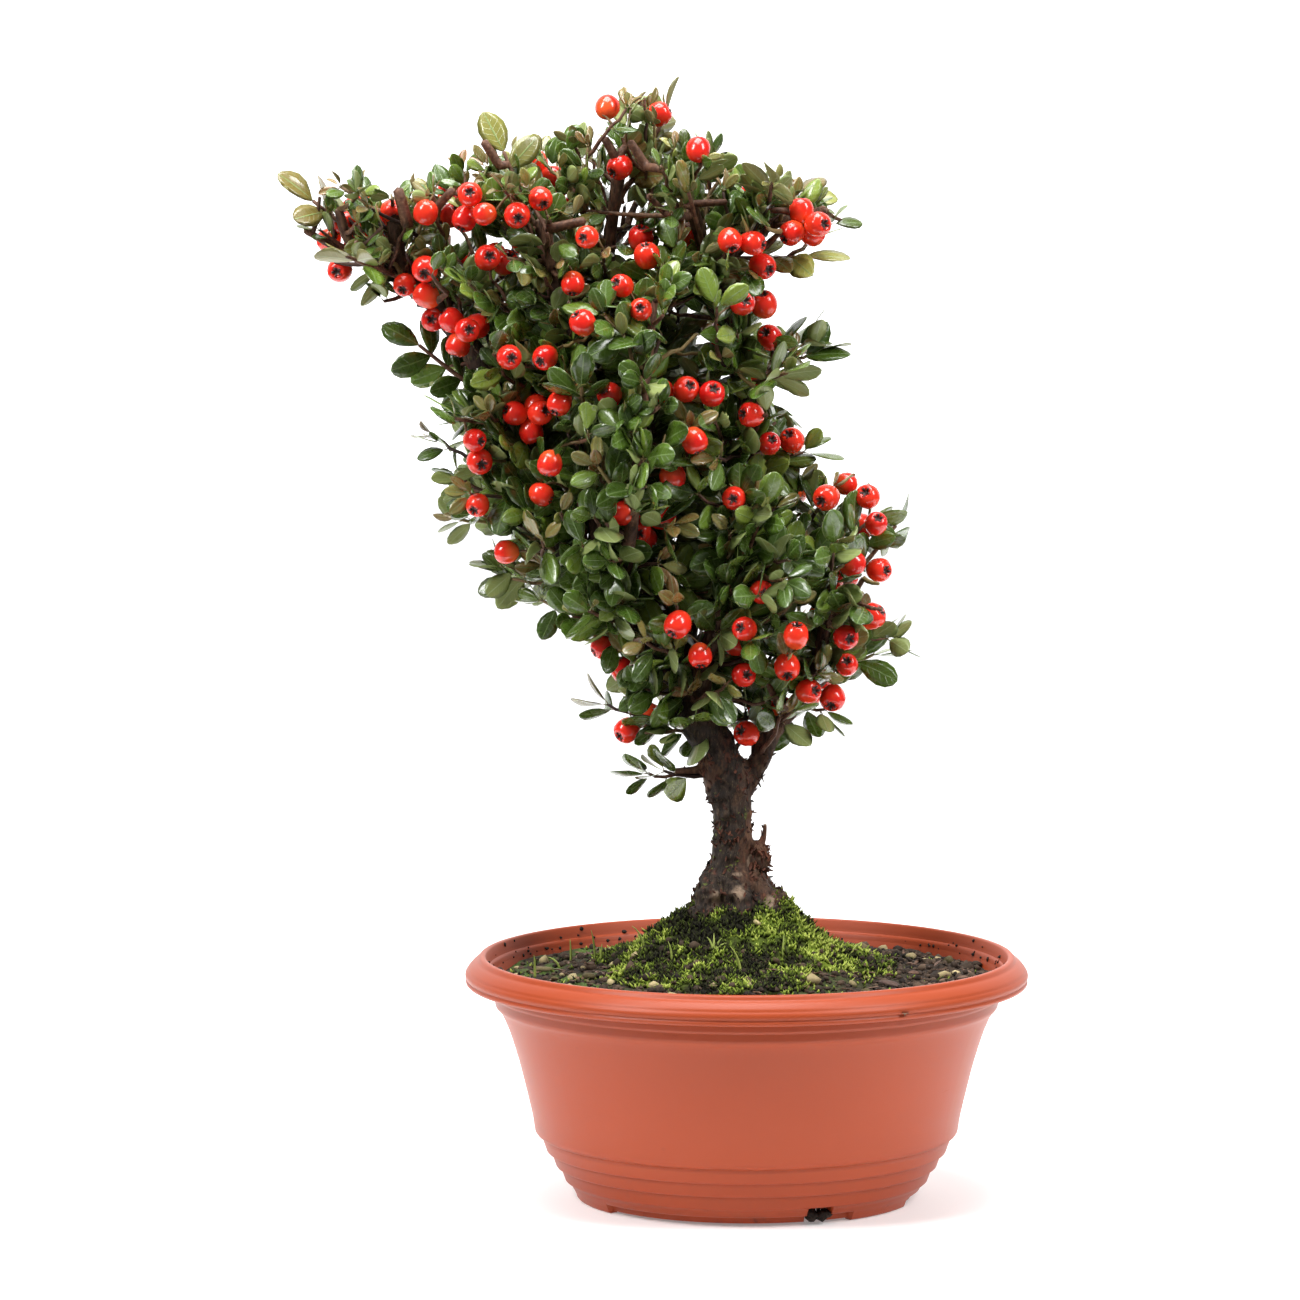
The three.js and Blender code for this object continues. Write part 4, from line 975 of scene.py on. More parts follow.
def make_wood(material, branches):
    lines = [smooth_line([(x, 0, z) for x, z, _ in TRUNK], [radius for _, _, radius in TRUNK], 3)]
    for number, (points, radii) in enumerate(LIMBS + branches):
        points, radii = FINER.get(number, (points, radii))
        lines.append(smooth_line(points, limb_radii(points, radii), 3))
    shape = Shape()
    for points, radii in lines:
        add_tube(shape, points, radii, 14)
    for points, radii in ROOTS:
        add_tube(shape, *smooth_line(points, radii, 3), 12)
    for knobs, sides in ((KNOBS, 12), (BURL, 10)):
        for knob in knobs:
            add_tube(shape, *ball(*knob), sides)
    rough = link("wood_rough", shape.mesh("wood_rough"))
    remesh = rough.modifiers.new("one skin", "REMESH")
    remesh.mode = "VOXEL"
    remesh.voxel_size = WOOD_VOXEL * MM
    bpy.context.view_layer.update()
    graph = bpy.context.evaluated_depsgraph_get()
    mesh = bpy.data.meshes.new_from_object(rough.evaluated_get(graph))
    bpy.data.objects.remove(rough)
    points = (vectors(mesh.vertices, "co") - AXIS) / MM
    normals = vectors(mesh.vertex_normals, "vector")
    thick = radius_near(points, lines)
    strength = np.clip(thick / 7, 0.16, 1.0)
    tall = points * np.array([1, 1, 0.45])
    ridges = 1 - 2 * np.abs(noise(tall, 2.2, 61))
    rise = strength * (0.5 * ridges + 0.75 * noise(points, 4.5, 62) + 0.5 * noise(points, 1.8, 63))
    foot = np.clip((134 - points[:, 2]) / 10, 0, 1)
    rise = rise * (1 + 0.8 * foot) + foot * strength * noise(points, 3, 66)
    points = points + normals * rise[:, None] * 0.9
    scar = np.zeros(len(points))
    for x, z, half, tall in SCARS:
        away = np.hypot((points[:, 0] - x) / half, (points[:, 2] - z) / tall) + 0.25 * noise(points, 1.5, 64)
        scar = np.maximum(scar, np.clip(3 - 2.4 * away, 0, 1) * (normals[:, 1] < -0.15) * (points[:, 1] < 0))
    for line, radii in lines[1:]:
        away = distances(points, line[-1])
        facing = normals @ unit(line[-1] - line[-2])
        scar = np.maximum(scar, 0.8 * (facing > 0.7) * (away < radii[-1] + 1.2))
    mesh.vertices.foreach_set("co", (points * MM + AXIS).astype(np.float32).ravel())
    mark(mesh, "thick", np.clip((thick - 1.2) / 4.5, 0, 1))
    mark(mesh, "scar", scar)
    mesh.polygons.foreach_set("use_smooth", np.ones(len(mesh.polygons), bool))
    mesh.update()
    settle("wood", mesh, material, ["trunk_and_limbs"])
    make_flakes(points, normals)
    return lines


# Scales of bark: how many lie on all of the trunk, on the burl and at one loose place, and how they stand.
FLAKES, BURL_FLAKES, LOOSE_FLAKES = 520, 46, 14
LYING = {"lift": (0.0, 0.4), "long": (1.0, 2.6), "tone": (0.0, 0.55)}
STANDING = {"lift": (0.15, 0.9), "long": (1.4, 3.4), "tone": (0.2, 0.9)}


def make_flakes(points, normals):
    """Scales of dry bark on the trunk, thick round the burl: thin bent chips that stand off the wood."""
    rng = np.random.default_rng(15)
    from_axis = np.hypot(points[:, 0] + 5.5, points[:, 1])
    trunk = (points[:, 2] > 110) & (points[:, 2] < 176) & (from_axis < 22)
    burl = distances(points, np.array([6, -4.5, 134])) < 5.5
    loose = distances(points, np.array([-7, -8, 143])) < 4
    picks = []
    for where, count in ((trunk, FLAKES), (burl, BURL_FLAKES), (loose, LOOSE_FLAKES)):
        picks += list(rng.choice(np.nonzero(where)[0], count, replace=False))
    shape = Shape()
    faces = [ring_faces(3, 4), np.array([(0, 1, 2, 3), (11, 10, 9, 8)])]
    for k, pick in enumerate(picks):
        kind = LYING if k < FLAKES else STANDING
        out = normals[pick]
        along = square_to(rng.normal(0, 1, 3) * np.array([0.5, 0.5, 1.0]), out)
        along = unit(along + out * rng.uniform(*kind["lift"]))
        side = np.cross(along, out)
        long = rng.uniform(*kind["long"])
        wide = long * rng.uniform(0.3, 0.6)
        start = points[pick] - out * 0.35
        middle = start + along * long * 0.55 + out * 0.2
        end = start + along * long + out * rng.uniform(0.0, 0.5) * long
        face = unit(np.cross(side, along))
        rows = []
        for place, half in ((start, 0.8), (middle, 1.0), (end, 0.35)):
            for across, rise in ((-half, 0.0), (half, 0.0), (half, 0.35), (-half, 0.35)):
                rows.append(place + side * wide * across * 0.5 + face * rise)
        shape.add(rows, faces, tone=rng.uniform(*kind["tone"]))
    flake = plain_finish("bark_flake", (0.014, 0.008, 0.006), (0.21, 0.075, 0.042), 500, 0.8, 0.3)
    shape.place("bark_flakes", flake, "bark")


def ball(x, y, z, radius):
    """A knob as a short tube that swells and closes again."""
    turns = np.linspace(-0.97, 0.97, 7)
    points = np.array([(x, y, z + radius * t) for t in turns])
    return points, radius * np.sqrt(1 - turns**2)


def radius_near(points, lines):
    """The radius of the nearest limb at each point."""
    tree = kdtree.KDTree(sum(len(line) for line, _ in lines))
    radii = []
    for line, thick in lines:
        for place, radius in zip(line, thick):
            tree.insert(place, len(radii))
            radii.append(radius)
    tree.balance()
    return np.array([radii[tree.find(p)[1]] for p in points])


# Reading the solids' stems, leaves and berries

ARCH = 0.16
RING_SHARES = (0.36, 0.72)
RING_HALF = 0.46


def welded(node):
    """The points of a node in millimetres from the bowl's axis, and each point's neighbours."""
    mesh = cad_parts[node].data
    places = np.round((vectors(mesh.vertices, "co") - AXIS) / MM, 3)
    points, index = np.unique(places, axis=0, return_inverse=True)
    index = index.ravel()
    near = [set() for _ in points]
    for polygon in mesh.polygons:
        ids = [int(index[i]) for i in polygon.vertices]
        for i in ids:
            near[i].update(ids)
    for i, others in enumerate(near):
        others.discard(i)
    return points, near


def read_leaves(points, near, taken):
    """Finds the blades: a tip joined to four points, close together by twos, and four more behind those."""
    leaves = []
    for tip, ring in enumerate(near):
        if len(ring) != 4:
            continue
        ring = sorted(ring)
        corners = points[ring]
        reach = distances(corners, points[tip])
        gaps = distances(corners, corners[0])
        order = np.argsort(gaps)
        if reach.min() < 2.5 or reach.max() > 8 or not 0.45 < gaps[order[1]] < 0.85:
            continue
        behind = set().union(*[near[i] for i in ring]) - set(ring) - {tip}
        if len(behind) != 4:
            continue
        behind = sorted(behind)
        one, two = corners[order[:2]].mean(axis=0), corners[order[2:]].mean(axis=0)
        rows = [[1, s, -s * s] for s in (*RING_SHARES, 1)]
        known = np.stack([points[behind].mean(axis=0), corners.mean(axis=0), points[tip]])
        base, along, sag = np.linalg.solve(np.array(rows), known)
        length = np.linalg.norm(along)
        way = along / length
        width = np.linalg.norm(two - one) / (2 * RING_HALF)
        leaves.append({"base": base, "way": way, "up": square_to(sag, way), "length": length, "width": width})
        taken.update([tip, *ring, *behind])
    return leaves


def read_berries(points, near, taken):
    """Finds the berries: a pole joined to six points at one distance, and two more rings of six."""
    berries = []
    for tip, ring in enumerate(near):
        if len(ring) != 6:
            continue
        ring = sorted(ring)
        reach = np.linalg.norm(points[ring] - points[tip], axis=1)
        if reach.std() > 0.03 * reach.mean() or not 3 < reach.mean() < 4.8:
            continue
        wide = set().union(*[near[i] for i in ring]) - set(ring) - {tip}
        if len(wide) != 6:
            continue
        low = set().union(*[near[i] for i in wide]) - wide - set(ring)
        if len(low) != 6:
            continue
        middle = points[ring].mean(axis=0)
        way = unit(points[tip] - middle)
        radius = np.linalg.norm(points[ring] - middle, axis=1).mean() / math.sin(math.radians(45))
        berries.append({"centre": points[tip] - way * radius * 1.05, "way": way, "radius": radius})
        taken.update([tip, *ring, *wide, *low])
    return berries


def read_twig(points, taken, wood):
    """The line of what is left, a stem's own sections from its root to its tip."""
    rest = np.array([p for i, p in enumerate(points) if i not in taken])
    middle = rest.mean(axis=0)
    axis = np.linalg.svd(rest - middle)[2][0]
    along = (rest - middle) @ axis
    order = np.argsort(along)
    groups = np.split(order, np.nonzero(np.diff(along[order]) > 0.9)[0] + 1)
    line = np.array([rest[g].mean(axis=0) for g in groups])
    if wood.find(line[0])[2] > wood.find(line[-1])[2]:
        line = line[::-1]
    return line


# Leaves

LEAF_ROWS = 6
LEAF_THICKNESS = 0.42
MIDRIB_DEPTH = 0.16
STALK_SIDE = 2.0  # marks a stalk where a blade has its side


def leaf_template():
    """Shares along (u) and across (v) a blade, its side (1 above, -1 below, 0 at the edge), and its faces."""
    u, v, side = [0.0, 1.0], [0.0, 0.0], [0.0, 0.0]
    shares = 0.5 - 0.5 * np.cos(math.pi * np.arange(1, LEAF_ROWS + 1) / (LEAF_ROWS + 1))
    for share in shares:
        for across in (-1, -0.5, 0, 0.5, 1):
            u.append(share)
            v.append(across)
            side.append(1.0 if abs(across) < 1 else 0.0)
        for across in (-0.5, 0, 0.5):
            u.append(share)
            v.append(across)
            side.append(-1.0)

    def top(row, column):
        return 2 + row * 8 + column

    def below(row, column):
        return top(row, column) if column in (0, 4) else 2 + row * 8 + 4 + column

    faces, fans = [], []
    for face, way in ((top, -1), (below, 1)):
        for column in range(4):
            for row in range(LEAF_ROWS - 1):
                quad = [face(row + i, column + j) for i, j in ((0, 0), (0, 1), (1, 1), (1, 0))]
                faces.append(quad[::way])
            fans.append([0, face(0, column + 1), face(0, column)][::way])
            fans.append([1, face(LEAF_ROWS - 1, column), face(LEAF_ROWS - 1, column + 1)][::way])
    return np.array(u), np.array(v), np.array(side), faces, fans


LEAF_U, LEAF_V, LEAF_SIDE, LEAF_FACES, LEAF_FANS = leaf_template()


def leaf_outline(u, full):
    """Half of a blade's width at u, as a share of the widest: fuller towards the tip where `full` is high."""
    a, b = 0.72 + 0.26 * full, 0.6 + 0.12 * (1 - full)
    peak = a / (a + b)
    return (u**a * (1 - u) ** b) / (peak**a * (1 - peak) ** b)


def add_leaves(shape, leaves):
    """Blades and their stalks. Each leaf says where it starts, its directions, size, form and tones."""
    column = {key: np.array([leaf[key] for leaf in leaves], float) for key in leaves[0]}
    n, count = len(leaves), len(LEAF_U)
    way, up = column["way"], column["up"]
    across = np.cross(way, up)
    u, v = LEAF_U, LEAF_V
    length, width, full, fold, cup, arch, wave, twist = (
        column[key][:, None] for key in ("length", "width", "full", "fold", "cup", "arch", "wave", "twist")
    )
    half = 0.5 * width * leaf_outline(u, full)
    rise = fold * np.abs(v) ** 1.3 * half - cup * v * v * half - arch * length * u * u
    rise += wave * np.sin(7 * u + 9 * full) * v * v
    thick = LEAF_THICKNESS * (1 - 0.75 * np.abs(v)) * np.sqrt(4 * u * (1 - u))
    rise += 0.5 * thick * LEAF_SIDE - MIDRIB_DEPTH * (v == 0) * np.sqrt(u * (1 - u))
    turn = twist * u
    aside, raised = v * half * np.cos(turn), rise + v * half * np.sin(turn)
    points = column["base"][:, None] + way[:, None] * (u * length)[..., None]
    points = points + across[:, None] * aside[..., None] + up[:, None] * raised[..., None]
    blade = np.tile(np.stack([LEAF_U, LEAF_V, LEAF_SIDE], axis=-1), (n, 1))
    faces = [copies(LEAF_FACES, n, count), copies(LEAF_FANS, n, count)]
    shape.add(points, faces, blade=blade, tone=np.repeat(column["tone"], count, axis=0))
    # The stalk: a slim spike from the twig into the blade's foot.
    start = column["root"]
    end = column["base"] + way * 0.08 * length - up * 0.1
    line = unit(end - start)
    side = square_to(across, line)
    face = np.cross(line, side)
    ring = [start + 0.42 * (side * math.cos(angle) + face * math.sin(angle)) for angle in turn_round(3)]
    faces = copies([(0, 1, 3), (1, 2, 3), (2, 0, 3), (0, 2, 1)], n, 4)
    blade = (0.0, 0.0, STALK_SIDE)
    shape.add(np.stack([*ring, end], axis=1), [faces], blade=blade, tone=np.repeat(column["tone"], 4, axis=0))


def dressed(leaf, rng, young=0.0, root=None):
    """A leaf's own form and tones added to its place and size."""
    made = dict(leaf)
    made.setdefault("arch", ARCH)
    made["full"] = rng.uniform(0.1, 1.0)
    made["fold"] = rng.uniform(-0.03, 0.3) + 0.3 * young
    made["cup"] = rng.uniform(0.0, 0.24)
    made["wave"] = rng.normal(0, 0.2)
    made["twist"] = rng.normal(0, 0.18)
    made["root"] = leaf["base"] if root is None else root
    made["tone"] = (rng.uniform(0, 1), young, rng.uniform(0, 1))
    return made


# Berries

def berry_template(sides=16):
    """Points and faces of a berry of radius 1, its stalk end low and the hollow of its calyx on top."""
    rows = [
        (0.16, -1.02), (0.4, -0.95), (0.68, -0.76), (0.9, -0.44), (1.0, -0.04), (0.97, 0.34), (0.84, 0.66),
        (0.66, 0.86), (0.5, 0.95), (0.38, 0.93), (0.27, 0.8), (0.12, 0.74),
    ]
    body = [polar(radius, turn_round(sides), z) for radius, z in rows]
    points = np.concatenate([*body, [(0, 0, -1.0), (0, 0, 0.73)]])
    quads, *ends = closed_rings(len(rows), sides)
    # Five dry sepals fold in over the hollow: each has five points, as (reach, turn, height).
    sepal = [(0.5, -0.42, 0.93), (0.5, 0.42, 0.93), (0.36, 0, 1.03), (0.07, 0, 0.86), (0.34, 0, 0.86)]
    reach, turn, z = np.array(sepal).T
    sepals = [polar(reach, turn + middle, z) for middle in turn_round(5)]
    flaps = copies([(0, 1, 2), (0, 2, 3), (1, 3, 2), (0, 4, 1), (0, 3, 4), (1, 4, 3)], 5, 5) + len(points)
    return np.concatenate([points, *sepals]), quads, np.concatenate([*ends, flaps])


BERRY_POINTS, BERRY_QUADS, BERRY_FANS = berry_template()


def add_berries(shape, berries, rng):
    for berry in berries:
        way = berry["way"]
        first = square_to(np.array([0.3, 0.2, 1.0] if abs(way[2]) < 0.9 else [1.0, 0, 0]), way)
        one, two = turned(first, np.cross(way, first), -rng.uniform(0, TURN))
        long, taper = rng.uniform(0.98, 1.12), rng.uniform(-0.02, 0.1)
        local = BERRY_POINTS.copy()
        local[:, :2] *= (1 + taper * local[:, 2] * (local[:, 2] < 0.7))[:, None]
        local[:, 2] *= long
        swell = 1 + 0.025 * noise(local * 3 + berry["centre"], 2.2, 71)
        points = berry["centre"] + berry["radius"] * swell[:, None] * (local @ np.stack([one, two, way]))
        tone = (rng.uniform(), 0.0, rng.uniform())
        shape.add(points, [BERRY_QUADS, BERRY_FANS], berry=BERRY_POINTS, tone=tone)


# Growing the crown

# Clumps of the crown that the photograph shows: (x, z, half width, half height, half depth, middle's y).
CLUMPS = [
    (-150, 384, 13, 5, 24, -2), (-130, 376, 16, 14, 32, 2), (-110, 362, 14, 14, 34, 0),
    (-140, 365, 9, 6, 20, -4), (-118, 388, 12, 9, 22, 2), (-92, 389, 19, 12, 40, 0),
    (-67, 403, 11, 11, 31, 2), (-43, 419, 10, 13, 24, 0), (-25, 401, 17, 12, 38, 0), (4, 390, 20, 6, 36, 0),
    (-8, 371, 15, 14, 42, 0), (-70, 372, 20, 17, 50, 0), (-92, 333, 15, 19, 42, 0),
    (-56, 340, 32, 26, 55, 0), (-16, 342, 20, 22, 48, 0), (14, 331, 6, 4, 10, 0), (-97, 304, 16, 17, 40, 0),
    (-60, 299, 33, 26, 57, 0), (-19, 300, 24, 24, 50, 0), (5, 300, 9, 12, 28, 0), (-101, 276, 13, 11, 30, 0),
    (27, 277, 13, 7, 26, 0), (-65, 263, 28, 20, 52, 0), (-20, 260, 31, 25, 50, 0), (14, 257, 21, 17, 40, 0),
    (37, 262, 9, 10, 28, 0), (-62, 235, 15, 9, 34, 0), (-30, 226, 26, 18, 45, 0), (-32, 371, 11, 11, 32, 0),
    (11, 226, 24, 18, 42, 0), (36, 226, 9, 13, 28, 0), (-37, 205, 13, 10, 28, 0), (-5, 200, 20, 13, 34, 0),
    (20, 209, 14, 9, 30, 0), (-41, 186, 6, 6, 11, 0), (8, 190, 7, 5, 14, 0),
]
# Single shoots that stand out of the clumps: the photograph's pixel where each ends, its depth, its leaves at
# the tip, and how young they are.
EDGE_SHOOTS = [
    (324, 172, -4, 3, 1.0), (344, 178, 2, 3, 0.9), (302, 218, 0, 3, 0.2), (420, 173, 2, 4, 0.9),
    (400, 178, -2, 3, 0.9), (372, 205, -6, 3, 0.9), (450, 150, 3, 3, 0.9), (477, 148, -3, 3, 0.9),
    (508, 138, 0, 3, 0.8), (536, 133, 2, 3, 0.7), (570, 122, -4, 3, 0.7), (632, 86, 0, 4, 0.8),
    (650, 87, -2, 3, 0.9), (688, 133, 0, 3, 0.1), (712, 131, -3, 3, 0.1), (742, 172, 0, 3, 0.1),
    (770, 173, 3, 3, 0.2), (797, 177, -2, 4, 0.2), (829, 191, 0, 3, 0.2), (846, 208, 2, 3, 0.1),
    (824, 335, 0, 3, 0.1), (836, 342, 2, 2, 0.1), (826, 455, 0, 3, 0.1), (890, 530, 0, 3, 0.1),
    (898, 552, 3, 3, 0.1), (412, 437, 0, 3, 0.6), (436, 478, 0, 3, 0.0), (438, 530, 0, 2, 1.0),
    (500, 598, 2, 3, 0.1), (904, 652, 0, 4, 0.0), (890, 670, 3, 2, 0.0), (490, 584, 0, 3, 0.0),
    (534, 622, -3, 3, 0.1), (608, 728, 0, 2, 0.5), (650, 796, 0, 3, 0.0), (668, 794, -3, 3, 0.2),
    (614, 662, 0, 3, 0.1), (838, 728, -4, 2, 0.0), (802, 733, -6, 3, 0.0), (852, 672, -3, 3, 0.0),
    (681, 752, -3, 3, 0.1), (836, 700, 0, 3, 0.0), (800, 468, 0, 3, 0.1), (780, 480, -6, 3, 0.0),
]
# Where the photograph looks through the crown: (x, z, half width, half height) seen from the front.
GAPS = [
    (-51, 381, 6, 12), (-109, 375, 5, 9), (-77, 409, 3.5, 8), (-125, 345, 10, 6), (-30, 424, 6, 5),
    (5, 370, 12, 5), (-67, 215, 10, 4), (-130, 328, 9, 11),
]
# Hollows in the crown's front that open on its dark inside: (x, z, half width, half height).
HOLLOWS = [
    (-24, 341, 14, 11), (-57, 321, 5, 9), (-81, 303, 5, 7), (-35, 300, 6, 6), (-60, 262, 5, 6),
    (-16, 236, 5, 6),
]
# Bare stubs of cut twigs that the photograph shows: pixels of the foot and the cut end, radius at the foot.
STUBS = [
    (408, 226, 398, 190, 2.4), (500, 166, 484, 142, 1.9), (548, 229, 584, 221, 2.0),
    (617, 160, 605, 139, 1.9), (646, 166, 630, 142, 1.9), (690, 204, 726, 202, 1.5),
    (786, 211, 829, 227, 1.4), (430, 214, 453, 190, 1.8),
]
# How far a leaf may stand out of the clumps, seen from the front.
OUTLINE_SLACK = 5.5
CROWN_CENTRE = np.array([-50.0, 0, 300])
SHOOTS = 440
LEAF_SPACING = 6.2
LEAF_LENGTHS = (11.5, 17)
YOUNG_SHOOTS_ABOVE, YOUNG_STEMS_ABOVE = 368, 366  # most shoots over these heights are young
SPURS_ABOVE = 215
AIRY = 0.66  # the low lobe at right carries this share of shoots, so that light shows through
LONGEST_SHOOT = 52
# Limbs of the list above whose last points show bare, and how many of those points.
BARE_ENDS = {0: 2, 2: 1, 3: 1, 4: 1, 5: 1, 6: 2}


def oval(x, z, middle_x, middle_z, half, tall, more=0):
    """Under 1 inside an oval seen from the front, whose half sizes may grow by `more`."""
    return ((x - middle_x) / (half + more)) ** 2 + ((z - middle_z) / (tall + more)) ** 2


def inside_clump(point, clump):
    """Under 1 inside a clump."""
    *seen, deep, shift = clump
    return math.sqrt(oval(point[0], point[2], *seen) + ((point[1] - shift) / deep) ** 2)


def shoot_tips():
    """Even places in the outer part of every clump, more in larger ones, none deep inside another clump."""
    sizes = np.array([(half * deep * tall) ** (2 / 3) for _, _, half, tall, deep, _ in CLUMPS])
    airy = np.array([AIRY if x > -35 and z < 290 else 1 for x, z, *_ in CLUMPS])
    shares = np.maximum(3, np.round(SHOOTS * airy * sizes / sizes.sum())).astype(int)
    tips = []
    for number, (clump, count) in enumerate(zip(CLUMPS, shares)):
        x, z, half, tall, deep, shift = clump
        for k in range(count):
            y = 1 - (2 * k + 1) / count
            around = k * GOLDEN_ANGLE + 1.3 * number
            level = math.sqrt(1 - y * y)
            out = np.array([level * math.cos(around), y, level * math.sin(around)])
            out = unit(out + 0.22 * np.array([spread(number, k, c) for c in (81, 82, 83)]))
            share = 0.66 + 0.32 * draw(number, k, 84)
            tip = np.array([x, shift, z]) + out * np.array([half, deep, tall]) * share
            if any(other is not clump and inside_clump(tip, other) < 0.55 for other in CLUMPS):
                continue
            tips.append(tip)
    return tips


class Carriers:
    """Places on wood and twigs that something can grow from."""

    def __init__(self):
        self.places, self.ways, self.thick, self.used = [], [], [], []

    def add_line(self, line, radii, first=0):
        line = np.asarray(line, float)
        self.places += list(line[first:])
        self.ways += list(unit(np.gradient(line, axis=0))[first:])
        self.thick += list(radii[first:])
        self.used += [0] * len(line[first:])

    def arrays(self):
        return np.array(self.places), np.array(self.ways), np.array(self.thick), np.array(self.used, float)


def curve(start, way, tip, steps, rise):
    """A line from start to tip that leaves along `way` and ends turned up a little."""
    length = np.linalg.norm(tip - start)
    one = start + way * 0.3 * length
    two = tip - unit(unit(tip - start) + UP * rise) * 0.32 * length
    t = np.linspace(0, 1, steps)[:, None]
    return (1 - t) ** 3 * start + 3 * (1 - t) ** 2 * t * one + 3 * (1 - t) * t**2 * two + t**3 * tip


def face_of(place, way):
    """Which way the leaves of a shoot face: up, and out of the crown."""
    out = unit((place - CROWN_CENTRE) * np.array([0.5, 2.2, 0.4]))
    return square_to(out + UP * 0.55 + np.array([0, -0.15, 0]), way)


def leaf_size(place):
    """Leaves are smaller in the crown's top and on its arm."""
    high = np.clip((place[2] - 350) / 45, 0, 1)
    out = np.clip((-90 - place[0]) / 30, 0, 1)
    return 1.05 - 0.32 * max(high, out)


def leaves_along(line, start, spacing, number, tip_leaves, young, size=1.0):
    """Leaves on a shoot: one or two at each joint, to alternate sides, and a rosette at the tip."""
    rng = np.random.default_rng(9000 + number)
    steps = np.linalg.norm(np.diff(line, axis=0), axis=1)
    reach = np.concatenate([[0], np.cumsum(steps)])
    total = reach[-1]
    leaves = []
    spacing = spacing * leaf_size(line[-1])
    at = total * start + rng.uniform(0, spacing)
    turn = rng.uniform(-0.5, 0.5)
    side_sign = 1 if rng.uniform() < 0.5 else -1
    spots = []
    while at < total - 1.5:
        spots.append((at, False))
        at += spacing * rng.uniform(0.75, 1.25)
    spots += [(total, True)] * tip_leaves
    for k, (at, is_tip) in enumerate(spots):
        i = min(int(np.searchsorted(reach, at, side="right")) - 1, len(line) - 2)
        t = (at - reach[i]) / max(steps[i], 1e-6)
        place = line[i] + (line[i + 1] - line[i]) * min(t, 1)
        way = unit(line[i + 1] - line[i])
        face = face_of(place, way)
        side = np.cross(way, face)
        many = 1 if is_tip else (2 if rng.uniform() < 0.55 else 1)
        for m in range(many):
            if is_tip:
                angle = TURN * k / max(tip_leaves, 1) + rng.uniform(-0.5, 0.5)
                open_by = rng.uniform(0.35, 0.95)
            else:
                angle = side_sign * (1.15 + turn + rng.normal(0, 0.3)) + (m * side_sign * -1.5)
                open_by = rng.uniform(0.75, 1.2)
            out = unit(face * math.cos(angle) + side * math.sin(angle))
            heading = unit(way * math.cos(open_by) + out * math.sin(open_by) + face * 0.12)
            normal = square_to(face + 0.25 * (way if is_tip else UP) - 0.2 * out, heading)
            roll = rng.normal(0, 0.35)
            normal = unit(normal * math.cos(roll) + np.cross(heading, normal) * math.sin(roll))
            near_tip = max(0.0, 1 - (total - at) / 6)
            is_young = young * near_tip if is_tip else 0.0
            length = size * leaf_size(place) * rng.uniform(*LEAF_LENGTHS)
            length *= 1 - 0.16 * near_tip - 0.2 * is_young
            base = place + heading * rng.uniform(1.4, 2.6)
            leaf = {
                "base": base, "way": heading, "up": normal, "length": length,
                "width": length * (rng.uniform(0.58, 0.7) - 0.14 * is_young), "arch": rng.uniform(0.02, 0.24),
            }
            leaves.append(dressed(leaf, rng, is_young, place))
        side_sign = -side_sign
    return leaves


def grow_shoots(carriers):
    """Shoots to all the tips, the nearest to the wood first, so that later ones can branch from them."""
    tips = shoot_tips()
    plain = len(tips)
    for px, py, y, _, _ in EDGE_SHOOTS:
        tip = on_photo(px, py, y)
        tips.append(tip + unit((CROWN_CENTRE - tip) * np.array([1, 0, 1])) * 9)
    places, _, _, _ = carriers.arrays()
    near = [distances(places, tip).min() for tip in tips]
    shoots = []
    for number in np.argsort(near):
        tip = tips[number]
        places, ways, thick, used = carriers.arrays()
        gap = tip - places
        away = np.linalg.norm(gap, axis=1)
        inner = np.linalg.norm((places - CROWN_CENTRE) * np.array([0.5, 1, 0.4]), axis=1)
        cost = np.abs(away - 24) + 0.12 * inner + 0.35 * np.maximum(0, places[:, 2] - tip[2])
        cost += 3 * used + 9 * np.maximum(0, -np.sum(ways * gap, axis=1) / np.maximum(away, 1e-6))
        cost += 2.5 * np.maximum(0, away - LONGEST_SHOOT) + 40 * (away < 9)
        best = int(np.argmin(cost))
        carriers.used[best] += 1
        start = places[best]
        straight = unit(tip - start)
        leave = unit(straight + 0.45 * ways[best] + 0.15 * UP)
        line = curve(start, leave, tip, 7, 0.35)
        wobble = np.array([[spread(number, i, c) for c in (91, 92, 93)] for i in range(len(line))])
        wobble[0] = wobble[-1] = 0
        line = line + wobble * 0.9
        base = min(1.35, max(0.95, 0.8 * thick[best]))
        radii = np.linspace(base, 0.62, len(line))
        carriers.add_line(line, radii, 2)
        young = 0.8 * (draw(number, 5, 96) > (0.2 if tip[2] > YOUNG_SHOOTS_ABOVE else 0.6))
        rosette, first = 3 + int(number) % 2, 0.26
        if number >= plain:
            rosette, young = EDGE_SHOOTS[number - plain][3:]
            first = max(first, 1 - 11 / np.linalg.norm(tip - start))
        shoots.append({
            "number": int(number), "line": line, "radii": radii, "rosette": rosette, "young": young,
            "first": first, "stands_out": number >= plain,
        })
    return shoots


